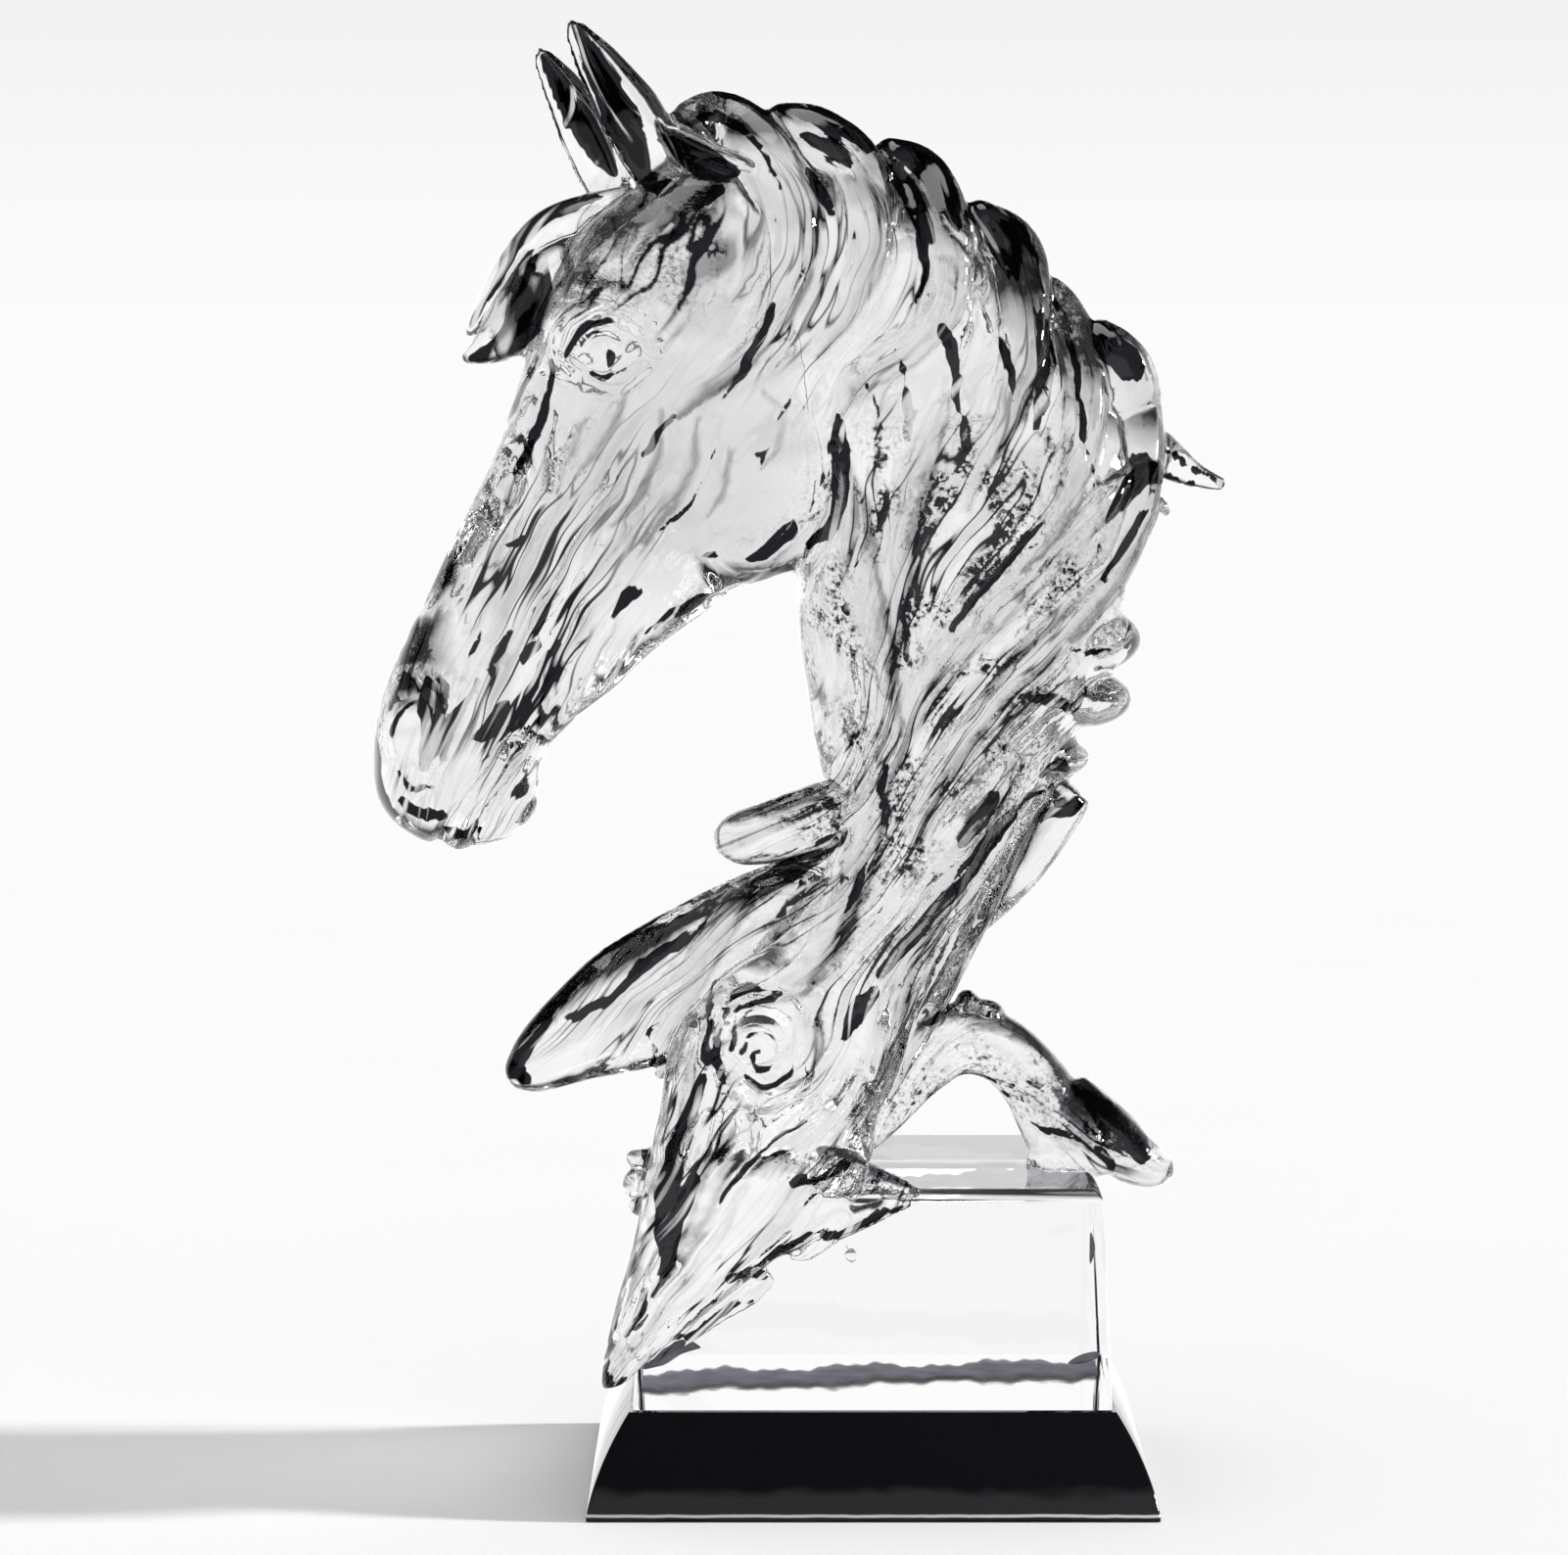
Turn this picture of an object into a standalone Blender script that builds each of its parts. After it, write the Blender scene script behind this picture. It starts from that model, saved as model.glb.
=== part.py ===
"""Clear cast-resin sculpture: two horses' heads flowing into one clear block, on a black resin foot.

The origin is the centre of the foot's underside. X runs to the right across the front, so that the
upper head looks towards -X, Y runs to the back, and Z is up. Lengths are in metres.

The plinth has sizes of its own. The figure is a free form: it is drawn in units, which are
millimetres at its present size, and the whole of it is scaled by FIGURE_RISE.
"""

import math

import bmesh
import bpy
import numpy as np
from mathutils import Vector
from mathutils.bvhtree import BVHTree

# Plinth: a black foot and, standing on it, the clear block that is cast in one with the figure.
FOOT_WIDTH = 0.143
FOOT_DEPTH = 0.124
FOOT_HEIGHT = 0.0255
FOOT_LEDGE = 0.001
FOOT_LIP = 0.0012
FOOT_ROUNDNESS = 0.55
BLOCK_WIDTH = 0.120
BLOCK_DEPTH = 0.100
BLOCK_HEIGHT = 0.0552
BLOCK_BATTER = 0.0025
BLOCK_EDGE = 0.0022
SEAM = 0.0003

# Figure: its height above the block's top. It is drawn with the block's top at DRAWN_TOP units, the
# block DRAWN_BLOCK_HEIGHT units high and its front DRAWN_FRONT units before the middle. Below
# DRAWN_NECK the figure follows the block's front.
FIGURE_RISE = 0.292
DRAWN_RISE = 292.0
DRAWN_TOP = 81.0
DRAWN_NECK = 150.0
DRAWN_BLOCK_HEIGHT = 55.2
DRAWN_FRONT = 48.5
HEAD_TURN = math.radians(12.0)
HEAD_PIVOT = -20.0

# Solid: the grain of the figure's first skin, in units, and the share of its faces that is kept.
GRAIN = 1.5
KEPT_SHARE = 0.06
SQUARENESS = 0.85

UNIT = FIGURE_RISE / DRAWN_RISE
BLOCK_TOP = FOOT_HEIGHT + SEAM + BLOCK_HEIGHT
NEAR, FAR = -1, 1

# Sections across a body, from its start to its end. Each has the upper (or back) outline point x, z,
# the lower (or front) outline point x, z, the middle's y, the half width and how much fuller the
# upper edge is than the lower one.
SKULL = (
    (-42, 344, -5, 278, 0, 20, 0.00),
    (-56, 333, -4, 261, 0, 25, 0.05),
    (-72, 321, -8, 240, 0, 28.5, 0.10),
    (-83, 300, -22, 232, 0, 28.5, 0.10),
    (-88, 285, -36, 227, 0, 25.5, 0.05),
    (-93, 269, -47, 220, 0, 21, -0.10),
    (-99, 255, -57, 212.5, 0, 17.5, -0.20),
    (-106, 241, -66, 204, 0, 15.5, -0.20),
    (-113, 226, -75, 197, 0, 15, -0.10),
    (-120, 211, -81, 191, 0, 16.5, 0.05),
    (-124, 200, -84, 186, 0, 18.5, 0.12),
    (-125.5, 188, -85, 180, 0, 18.5, 0.08),
    (-125, 178, -87, 174, 0, 16.5, 0.0),
    (-121, 171, -92, 167, 0, 13, 0.0),
    (-114, 166, -103, 164, 0, 7, 0.0),
)
NECK = (
    (-46, 346, -26, 300, 0, 17, 0.00),
    (-24, 346, -18, 268, 0, 23, -0.10),
    (2, 337, -18, 243, 0, 26, -0.15),
    (25, 322, -19, 228, 0, 28, -0.15),
    (45, 300, -18, 213, 0, 29, -0.10),
    (61, 280, -16, 201, 0, 29, -0.05),
    (69, 259, -14, 188, 0, 29, 0.00),
    (66, 232, -12, 180, 0, 28, 0.00),
    (58, 204, -10, 170, -2, 26, 0.00),
    (46, 178, -12, 157, -4, 24, 0.00),
    (32, 151, -25, 141, -8, 23, 0.00),
    (20, 127, -41, 128, -14, 23, 0.00),
    (11, 111, -51, 114, -22, 22.5, 0.00),
    (2, 98, -54, 99, -30, 21.5, 0.00),
    (-1, 86, -57, 84, -38, 19, 0.00),
    (-14, 72, -60, 68, -44, 15.5, 0.00),
    (-31, 59, -64, 54, -49, 12, 0.00),
    (-49, 45, -67, 41, -51.5, 8, 0.00),
    (-63, 32, -68, 31, -52, 4, 0.00),
)

# Limbs. Each row is a spine point x, y, z, the half width across the front view and the half
# thickness from front to back.
LOWER_EAR = (
    (-8, -10, 151, 14, 9),
    (-27, -10, 140, 17.5, 9.5),
    (-46, -11, 130, 18, 9),
    (-62, -12, 122, 16.5, 8.5),
    (-76, -13, 114.5, 12, 7),
    (-87, -14, 107.5, 7.5, 5),
    (-93, -14, 104.5, 2.5, 2.5),
)
LOWER_FAR_EAR = (
    (-2, -10, 174, 8, 8),
    (-14, -12, 170.5, 9, 9),
    (-26, -14, 167.5, 8, 8),
    (-35, -15, 166, 6.5, 7),
    (-40, -15, 165.5, 3, 3.5),
)
RIGHT_LOBE = (
    (4, -10, 136, 7, 8),
    (20, -10, 146, 9, 9),
    (34, -10, 158, 9, 9),
    (45, -10, 170, 7.5, 8),
    (52.5, -10, 178.5, 5, 6),
)
BACK_KNOTS = (
    (56, -2, 216, 13, 19, 8.5),
    (54, -3, 201, 12.5, 18, 7.5),
    (44, -4, 186, 12, 16, 6),
)
SPIKE = (
    (66, 0, 264, 9, 9),
    (72, 0, 263, 7.5, 7.5),
    (76, 0, 261.5, 5.4, 5.4),
    (81.5, 0, 258.3, 3.6, 3.6),
    (86.5, 0, 256.3, 2.4, 2.4),
    (90.5, 0, 255.2, 1.6, 1.6),
)
SPUR = ((68, 2, 252, 4, 4), (74, 2, 250, 2.2, 2.2), (76, 2, 247, 0.8, 0.8))
LEG = (
    (-6, -17, 87, 5, 8),
    (2, -14, 97.5, 8, 9),
    (10, -12, 108.5, 10.5, 10),
    (21, -10, 114, 9.6, 10.5),
    (32, -9, 112, 8.7, 11),
    (40, -8, 105, 8.8, 11.5),
    (46, -7, 96, 9.5, 12),
    (52, -6, 87, 13, 13),
    (54, -6, 77, 13.5, 12),
)
HOOF = (
    (50, -6, 102, 5, 7),
    (59, -6, 91, 7.5, 9.5),
    (66, -6, 84, 7.5, 10),
    (73, -6, 80.5, 5.5, 8),
    (78, -6, 80, 2.0, 4),
)
FORELOCKS = (
    ((-58, 4, 327, 5, 9), (-70, 4, 324, 6, 10), (-81, 3, 319, 7, 10), (-90, 2, 310, 6, 8),
     (-97, 1, 301, 4, 5), (-103, 0, 293, 1.0, 2)),
    ((-68, -2, 314, 7, 9), (-79, -3, 309, 9, 10), (-87, -4, 300, 9, 9), (-95, -5, 292, 6, 6.5),
     (-104, -6, 287, 1.0, 2)),
)
EAR_BAND = (
    (-53, -15, 346, 1.8, 3),
    (-45, -18, 341.5, 2.6, 3.5),
    (-37, -20, 338, 2.6, 4),
    (-30, -22, 335.5, 1.2, 2),
)

# Ears of the upper head: base, tip, the way the cup opens, half width, depth.
EARS = (
    ((-51, -13, 331), (-77, -17, 373), (-0.62, -0.78, 0.0), 9.4, 7.0),
    ((-66, 10, 329), (-86, 13, 367), (-0.75, -0.66, 0.0), 9, 6.5),
)

# Round forms on the upper head, mirrored on both sides: x, z, the distance out from the middle, then
# the half sizes along x, y and z.
CHEEK = (-32, 259, 17, 25, 11.5, 25)
EYE = (-70, 290.5, 21.5, 7, 5.5, 6)
SOCKET = (-71, 291, 17, 14, 9, 12)
NOSE_WING = (-116, 194, 12, 7.5, 6.5, 10)
CHIN = (-92, 176, 4, 6.5, 7, 7)

# Other round forms: x, y, z and the half sizes.
LOWER_EYES = ((-28.4, -39, 115, 8, 8, 8), (-22, 0, 121, 8, 8, 8))
CORNER_KNOBS = (
    (-58, -31, 86.5, 4.6, 4, 2.6),
    (-59.5, -33, 80.5, 3.6, 4, 3.6),
    (-58.5, -35, 75, 3, 3.6, 2.4),
)
KNEE_KNOBS = ((24.5, -10, 122.5, 3.6, 7, 4.8), (29, -10, 120.5, 5.5, 7, 4))
THROAT_WEB = ((-13, -11, 163, 9, 7, 6),)

# Locks of the mane as seen from the front: x, z, half width at each point. They lie on the surface.
MANE = (
    ((-48, 345, 6), (-39, 346, 9.8), (-28, 338, 9.5), (-20, 321, 7), (-23, 303, 5), (-33, 288, 3.5),
     (-49, 274, 1)),
    ((-28, 346, 7), (-17, 341, 11.5), (-5, 334, 9.5), (-1, 317, 6), (-6, 301, 3.5), (-14, 288, 1)),
    ((0, 336, 8), (10.5, 332, 10), (17, 320, 8.5), (18, 303, 6), (9, 290, 4), (-3, 282, 3), (-11, 272, 1)),
    ((21, 322, 8), (32.5, 313, 11.5), (37, 298, 8.5), (35, 281, 6), (29, 266, 4), (23, 251, 1)),
    ((39, 306, 6), (46, 298, 8.5), (52, 283, 8), (51, 265, 6.5), (45, 248, 4.5), (37, 235, 1)),
    ((52, 294, 7), (60, 283, 12.5), (66, 265, 9), (65, 247, 7), (59, 231, 5), (49, 218, 1.5)),
)
LONG_LOCKS = (
    ((67, 262, 3), (56, 250, 5), (40, 236, 6.5), (25, 221, 6), (13, 206, 5.5), (4, 191, 5), (-1, 176, 5),
     (-4, 161, 5.5), (-10, 146, 5), (-17, 133, 2.5)),
    ((73, 253, 3), (60, 233, 5.5), (43, 216, 6), (28, 198, 5), (15, 181, 4), (10, 166, 1.5)),
    ((-10, 268, 2), (-5, 248, 4.5), (-2, 228, 5), (3, 208, 4), (6, 193, 1.5)),
    ((18, 278, 2), (11, 258, 4.5), (6, 238, 5), (4, 218, 4), (3, 203, 1.5)),
)
FRONT_LOCKS = (
    ((36, 188, 3), (24, 166, 5), (13, 146, 5.5), (5, 126, 5), (-1, 106, 2)),
    ((44, 180, 3), (31, 158, 5), (21, 138, 5), (11, 118, 4), (3, 101, 1.5)),
    ((-5, 158, 3), (-11, 141, 5), (-22, 131, 4), (-37, 126, 1.5)),
    ((-32, 152, 3), (-42, 137, 4), (-50, 121, 3.5), (-54, 103, 1.5)),
)

# Strokes cut into the finished skin, or raised on it where the height is positive: side, width,
# height, then x, z along the stroke.
STROKES = (
    (NEAR, 2.6, -2.2, (-110, 163), (-106, 172), (-99, 183), (-91, 193)),
    (FAR, 2.6, -2.2, (-110, 163), (-106, 172), (-99, 183), (-91, 193)),
    (NEAR, 4.0, -3.6, (-112, 187), (-116, 195), (-112, 203), (-107, 200)),
    (FAR, 4.0, -3.6, (-120, 187), (-124, 195), (-120, 203), (-115, 200)),
    (NEAR, 3.2, 1.9, (-77, 291), (-73, 297), (-66, 299.5), (-59, 297), (-54, 291)),
    (FAR, 3.2, 1.9, (-77, 291), (-73, 297), (-66, 299.5), (-59, 297), (-54, 291)),
    (NEAR, 3.0, 1.6, (-76, 287), (-71, 282.5), (-64, 281.5), (-57, 285)),
    (FAR, 3.0, 1.6, (-76, 287), (-71, 282.5), (-64, 281.5), (-57, 285)),
    (NEAR, 3.5, 1.8, (-58, 262), (-66, 248), (-74, 234), (-84, 220)),
    (NEAR, 4.0, -1.8, (-8, 262), (-12, 245), (-24, 232), (-40, 226)),
    (NEAR, 3.0, 2.0, (-37, 123), (-36, 130), (-28, 134), (-18, 130), (-12, 120), (-14, 110), (-24, 104)),
    (NEAR, 3.0, -2.0, (-40, 116), (-36, 107), (-28, 103), (-18, 105)),
    (NEAR, 3.0, 1.6, (-46, 120), (-49, 104), (-52, 86), (-57, 66), (-63, 48)),
    (NEAR, 3.0, -1.8, (-40, 100), (-44, 86), (-51, 68), (-59, 50)),
    (NEAR, 3.0, 1.6, (-30, 98), (-34, 84), (-42, 70), (-52, 56)),
)

# Runs of resin on the block's front: x, z, half width.
DRIPS = (
    ((-16, 84, 8), (-7, 84, 8), (3, 84.5, 6), (11, 84, 3)),
    ((9, 82, 3), (1, 78, 4), (-8, 73.5, 4.5), (-16, 68.5, 2.5)),
    ((-6, 79, 5), (-15, 75, 6), (-23, 70, 5), (-30, 66, 3.5), (-36, 63, 1.5)),
    ((-8, 72, 2.4), (-14, 67, 2.2), (-17, 64.5, 1.4), (-21, 64, 0.8)),
    ((-30, 60, 2.6), (-29, 57, 2), (-30, 54, 1)),
    ((-6.5, 66, 1.6), (-5, 64.5, 1.8), (-4, 64, 1.2)),
    ((-25, 60, 2.2), (-31, 56, 3.8), (-38, 52, 3.8), (-48, 45, 3.4), (-57, 38, 2)),
)


def eased(rows, shares):
    """Rows of numbers read at shares of their length, along one smooth curve through them."""
    table = np.asarray(rows, float)
    last = len(table) - 1
    at = np.clip(np.asarray(shares, float), 0, 1) * last
    i = np.minimum(at.astype(int), last - 1)
    t = (at - i)[:, None]
    before, here = table[np.maximum(i - 1, 0)], table[i]
    there, after = table[i + 1], table[np.minimum(i + 2, last)]
    return 0.5 * (
        2 * here
        + (there - before) * t
        + (2 * before - 5 * here + 4 * there - after) * t**2
        + (3 * here - before - 3 * there + after) * t**3
    )


def ball(bm, around, along):
    """A new ball in bm, as its vertices, each one's share of the way between the poles, and its angle."""
    verts = bmesh.ops.create_uvsphere(bm, u_segments=around, v_segments=along, radius=1)["verts"]
    spots = np.array([v.co for v in verts])
    shares = np.arccos(np.clip(spots[:, 2], -1, 1)) / math.pi
    return verts, shares, np.arctan2(spots[:, 1], spots[:, 0])


def settle(bm, verts, spots):
    """Moves the vertices of one closed shape to their spots and turns its faces outwards."""
    for vert, spot in zip(verts, spots):
        vert.co = spot
    bmesh.ops.recalc_face_normals(bm, faces=list({face for vert in verts for face in vert.link_faces}))


def round_ends(shares, length):
    """How wide a limb is near its two ends, as a share of its full width."""
    near_end = np.minimum(shares, 1 - shares) / length
    return np.sqrt(1 - (1 - np.clip(near_end, 0, 1)) ** 2)


def add_body(bm, sections, around=40, along=64):
    """A body with sections between two outlines, a little squarer than ovals."""
    verts, shares, angles = ball(bm, around, along)
    top_x, top_z, low_x, low_z, mid_y, half, lean = eased(sections, shares).T
    up, out = (np.sign(v) * np.abs(v) ** SQUARENESS for v in (np.cos(angles), np.sin(angles)))
    x = (top_x + low_x) / 2 + (top_x - low_x) / 2 * up
    z = (top_z + low_z) / 2 + (top_z - low_z) / 2 * up
    y = mid_y + half * out * (1 + lean * up)
    poles = (shares < 1e-6) | (shares > 1 - 1e-6)
    x[poles], z[poles], y[poles] = ((top_x + low_x) / 2)[poles], ((top_z + low_z) / 2)[poles], mid_y[poles]
    settle(bm, verts, np.column_stack((x, y, z)))
    return verts


def add_limb(bm, rows, around=16, along=28, cap=0.05):
    """A limb with oval sections along a spine."""
    verts, shares, angles = ball(bm, around, along)
    values = eased(rows, shares)
    ahead = eased(rows, shares + 0.01)[:, :3] - eased(rows, shares - 0.01)[:, :3]
    ahead /= np.linalg.norm(ahead, axis=1)[:, None]
    side = np.cross(ahead, (0, 1, 0))
    side /= np.linalg.norm(side, axis=1)[:, None]
    deep = np.cross(side, ahead)
    size = round_ends(shares, cap)[:, None]
    spots = values[:, :3] + size * (
        side * (values[:, 3] * np.cos(angles))[:, None] + deep * (values[:, 4] * np.sin(angles))[:, None]
    )
    settle(bm, verts, spots)
    return verts


def add_ear(bm, base, tip, opens, half_width, depth, around=32, along=28):
    """A pointed ear: a leaf with a round back and a hollow that opens one way."""
    verts, shares, angles = ball(bm, around, along)
    base, tip, opens = (np.array(v, float) for v in (base, tip, opens))
    axis = (tip - base) / np.linalg.norm(tip - base)
    opens -= axis * (opens @ axis)
    opens /= np.linalg.norm(opens)
    across = np.cross(axis, opens)
    leaf = np.interp(shares, (0, 0.2, 0.45, 0.75, 0.93, 1), (0.85, 1.0, 0.98, 0.66, 0.34, 0.0))
    bow = 1.5 * np.sin(shares * math.pi)
    inward = np.clip(np.abs(angles) / (math.pi / 2) - 1, 0, 1)
    hollow = 1.6 * inward * (1 - inward) - 0.55 * inward**2 * (3 - 2 * inward)
    ahead = depth * np.where(inward > 0, hollow, -np.cos(angles)) * leaf - bow
    sideways = half_width * leaf * np.sin(angles)
    spots = base + (tip - base) * shares[:, None] + opens * ahead[:, None] + across * sideways[:, None]
    settle(bm, verts, spots)


def add_lump(bm, middle, half_sizes):
    """A rounded lump."""
    verts, shares, angles = ball(bm, 20, 14)
    ring = np.sin(shares * math.pi)
    spots = np.column_stack((ring * np.cos(angles), ring * np.sin(angles), np.cos(shares * math.pi)))
    settle(bm, verts, spots * half_sizes + middle)
    return verts


def turn_head(verts):
    """Turns what was drawn facing straight to the side, so that the nose comes forward a little."""
    for vert in verts:
        x, y, z = vert.co
        vert.co = (
            x - y * math.sin(HEAD_TURN),
            (x - HEAD_PIVOT) * math.tan(HEAD_TURN) + y * math.cos(HEAD_TURN),
            z,
        )


def add_head(bm):
    """The upper head: the skull, with the cheeks, eyes, nostrils and chin on both sides."""
    verts = add_body(bm, SKULL)
    for x, z, out, *half_sizes in (CHEEK, SOCKET, EYE, NOSE_WING, CHIN):
        for side in (NEAR, FAR):
            verts += add_lump(bm, (x, side * out, z), half_sizes)
    turn_head(verts)


def add_limbs(bm):
    """What grows out of the bodies: ears, forelocks, lobes, the leg, knobs and spikes."""
    for ear in EARS:
        add_ear(bm, *ear)
    for rows in (LOWER_EAR, LOWER_FAR_EAR, RIGHT_LOBE, SPIKE, SPUR, LEG, HOOF, EAR_BAND, *FORELOCKS):
        add_limb(bm, rows)
    for x, y, z, *half_sizes in (*LOWER_EYES, *BACK_KNOTS, *CORNER_KNOBS, *KNEE_KNOBS, *THROAT_WEB):
        add_lump(bm, (x, y, z), half_sizes)


def surface_y(tree, x, z, side):
    """The y of the surface in front of, or behind, the point x, z of the front view."""
    reach = 200.0
    spot = tree.ray_cast(Vector((x, side * reach, z)), Vector((0, -side, 0)))[0]
    if spot is None:
        spot = tree.find_nearest(Vector((x, 0, z)))[0]
    return spot.y


def drape(tree, path, side, sunk):
    """A lock's rows: its path in the front view laid on the surface, and sunk into it a little."""
    rows = []
    for x, z, half in path:
        y = surface_y(tree, x, z, side)
        rows.append((x, y - side * sunk * half, z, half, half * 0.8))
    return rows


def add_locks(bm):
    """The mane on both sides, and the locks that run down the front to the lower head."""
    tree = BVHTree.FromBMesh(bm)
    for paths, sides in ((MANE, (NEAR, FAR)), (LONG_LOCKS, (NEAR, FAR)), (FRONT_LOCKS, (NEAR,))):
        for path in paths:
            for side in sides:
                add_limb(bm, drape(tree, path, side, 0.38), around=12)
    for path in DRIPS:
        add_limb(bm, [(x, -DRAWN_FRONT - half * 0.2, z, half, half * 0.8) for x, z, half in path], around=12)


def read_mesh(obj):
    """A new mesh of the object with its modifiers applied."""
    graph = bpy.context.evaluated_depsgraph_get()
    return bpy.data.meshes.new_from_object(obj.evaluated_get(graph))


def skin_over(obj):
    """Turns the overlapping shapes of obj into one skin."""
    remesh = obj.modifiers.new("Skin", "REMESH")
    remesh.mode = "VOXEL"
    remesh.voxel_size = GRAIN
    smooth = obj.modifiers.new("Melt", "SMOOTH")
    smooth.factor = 0.5
    smooth.iterations = 3
    mesh = read_mesh(obj)
    obj.modifiers.clear()
    obj.data = mesh


def cut_strokes(mesh):
    """Presses the strokes into the skin, or raises them on it."""
    count = len(mesh.vertices)
    spots, normals = np.empty(count * 3), np.empty(count * 3)
    mesh.vertices.foreach_get("co", spots)
    mesh.vertices.foreach_get("normal", normals)
    spots, normals = spots.reshape(-1, 3), normals.reshape(-1, 3)
    tree = BVHTree.FromPolygons([v.co for v in mesh.vertices], [p.vertices for p in mesh.polygons])
    for side, width, height, *path in STROKES:
        line = eased([(x, surface_y(tree, x, z, side), z) for x, z in path], np.linspace(0, 1, 60))
        box = ((spots > line.min(0) - width) & (spots < line.max(0) + width)).all(1)
        near = np.flatnonzero(box)
        away = np.linalg.norm(spots[near, None] - line[None], axis=2)
        along = away.argmin(1) / (len(line) - 1)
        falloff = np.clip(1 - (away.min(1) / width) ** 2, 0, 1) ** 2
        taper = np.sqrt(np.sin(math.pi * np.clip(along, 0.03, 0.97)))
        spots[near] += normals[near] * (height * falloff * taper)[:, None]
    mesh.vertices.foreach_set("co", spots.ravel())
    mesh.update()


def place_on_block(mesh):
    """Brings the drawn figure to its size. What hangs in front of the block follows the block's own
    height and depth, so that it stays on the block's front and clear of the foot."""
    spots = np.empty(len(mesh.vertices) * 3)
    mesh.vertices.foreach_get("co", spots)
    x, y, z = spots.reshape(-1, 3).T
    above = z - DRAWN_TOP
    hang = BLOCK_HEIGHT / DRAWN_BLOCK_HEIGHT
    follow = np.clip((DRAWN_NECK - z) / (DRAWN_NECK - DRAWN_TOP), 0, 1)
    forward = (BLOCK_DEPTH / 2 - BLOCK_BATTER - DRAWN_FRONT * UNIT) * follow
    placed = (x * UNIT, y * UNIT - forward, BLOCK_TOP + above * np.where(above > 0, UNIT, hang))
    mesh.vertices.foreach_set("co", np.column_stack(placed).ravel())
    mesh.update()


def resin(name, colour, alpha):
    """A polished resin, clear where alpha is below 1."""
    material = bpy.data.materials.new(name)
    material.use_nodes = True
    shader = material.node_tree.nodes["Principled BSDF"]
    shader.inputs["Base Color"].default_value = (*colour, 1.0)
    shader.inputs["Roughness"].default_value = 0.04
    shader.inputs["Metallic"].default_value = 0.0
    shader.inputs["IOR"].default_value = 1.5
    shader.inputs["Transmission Weight"].default_value = 1.0 - alpha
    return material


def new_object(name, bm, material):
    """An object with the shapes of bm."""
    mesh = bpy.data.meshes.new(name)
    bm.to_mesh(mesh)
    bm.free()
    obj = bpy.data.objects.new(name, mesh)
    obj.data.materials.append(material)
    bpy.context.scene.collection.objects.link(obj)
    return obj


def frustum(bm, levels):
    """A closed shape with rectangular levels, each one a width, a depth and a height."""
    width, depth, height = levels[0]
    verts = bmesh.ops.create_grid(bm, x_segments=1, y_segments=1, size=0.5)["verts"]
    bmesh.ops.scale(bm, vec=(width, depth, 1), verts=verts)
    bmesh.ops.translate(bm, vec=(0, 0, height), verts=verts)
    face = bm.faces[:][0]
    for last, level in zip(levels, levels[1:]):
        made = bmesh.ops.extrude_face_region(bm, geom=[face])["geom"]
        if last is levels[0]:
            face.normal_flip()
        else:
            bmesh.ops.delete(bm, geom=[face], context="FACES_ONLY")
        verts = [part for part in made if isinstance(part, bmesh.types.BMVert)]
        face = next(part for part in made if isinstance(part, bmesh.types.BMFace))
        growth = (level[0] / last[0], level[1] / last[1], 1)
        bmesh.ops.scale(bm, vec=growth, verts=verts)
        bmesh.ops.translate(bm, vec=(0, 0, level[2] - last[2]), verts=verts)
    bmesh.ops.recalc_face_normals(bm, faces=bm.faces[:])


def build_foot(material):
    """The black foot: its sides bow outwards, down to a narrow lip."""
    bm = bmesh.new()
    top_width, top_depth = BLOCK_WIDTH + 2 * FOOT_LEDGE, BLOCK_DEPTH + 2 * FOOT_LEDGE
    steps = 8
    levels = [(FOOT_WIDTH, FOOT_DEPTH, 0.0)]
    for i in range(steps + 1):
        up = i / steps
        swell = 1 - (1 - FOOT_ROUNDNESS) * up - FOOT_ROUNDNESS * up**2
        levels.append((
            top_width + (FOOT_WIDTH - top_width) * swell,
            top_depth + (FOOT_DEPTH - top_depth) * swell,
            FOOT_LIP + (FOOT_HEIGHT - FOOT_LIP) * up,
        ))
    frustum(bm, levels)
    return new_object("black_foot", bm, material)


def build_block(material):
    """The clear block, narrower towards its top, with rounded upright and upper edges."""
    bm = bmesh.new()
    low, high = FOOT_HEIGHT + SEAM, BLOCK_TOP
    frustum(bm, [
        (BLOCK_WIDTH, BLOCK_DEPTH, low),
        (BLOCK_WIDTH - 2 * BLOCK_BATTER, BLOCK_DEPTH - 2 * BLOCK_BATTER, high),
    ])
    rounded = [e for e in bm.edges if max(v.co.z for v in e.verts) > (low + high) / 2]
    bmesh.ops.bevel(bm, geom=rounded, offset=BLOCK_EDGE, segments=4, profile=0.5, affect="EDGES", material=-1)
    return new_object("clear_block", bm, material)


def build_figure(material):
    """The two heads with their shared neck and mane, as one skin, at its real size and place."""
    bm = bmesh.new()
    add_body(bm, NECK)
    add_head(bm)
    add_limbs(bm)
    add_locks(bm)
    figure = new_object("horse_sculpture", bm, material)
    skin_over(figure)
    cut_strokes(figure.data)
    place_on_block(figure.data)
    return figure


def main():
    for old in list(bpy.data.objects):
        bpy.data.objects.remove(old)
    clear = resin("clear_resin", (0.96, 0.97, 0.98), 0.0)
    black = resin("black_resin", (0.01, 0.01, 0.012), 1.0)
    build_foot(black)
    block = build_block(clear)
    figure = build_figure(clear)
    thin = figure.modifiers.new("Thin", "DECIMATE")
    thin.ratio = KEPT_SHARE
    join = figure.modifiers.new("Cast with block", "BOOLEAN")
    join.operation = "UNION"
    join.object = block
    block.hide_render = True
    block.display_type = "WIRE"
    figure.data.shade_smooth()
    figure.data.set_sharp_from_angle(angle=math.radians(50))


main()
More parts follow.
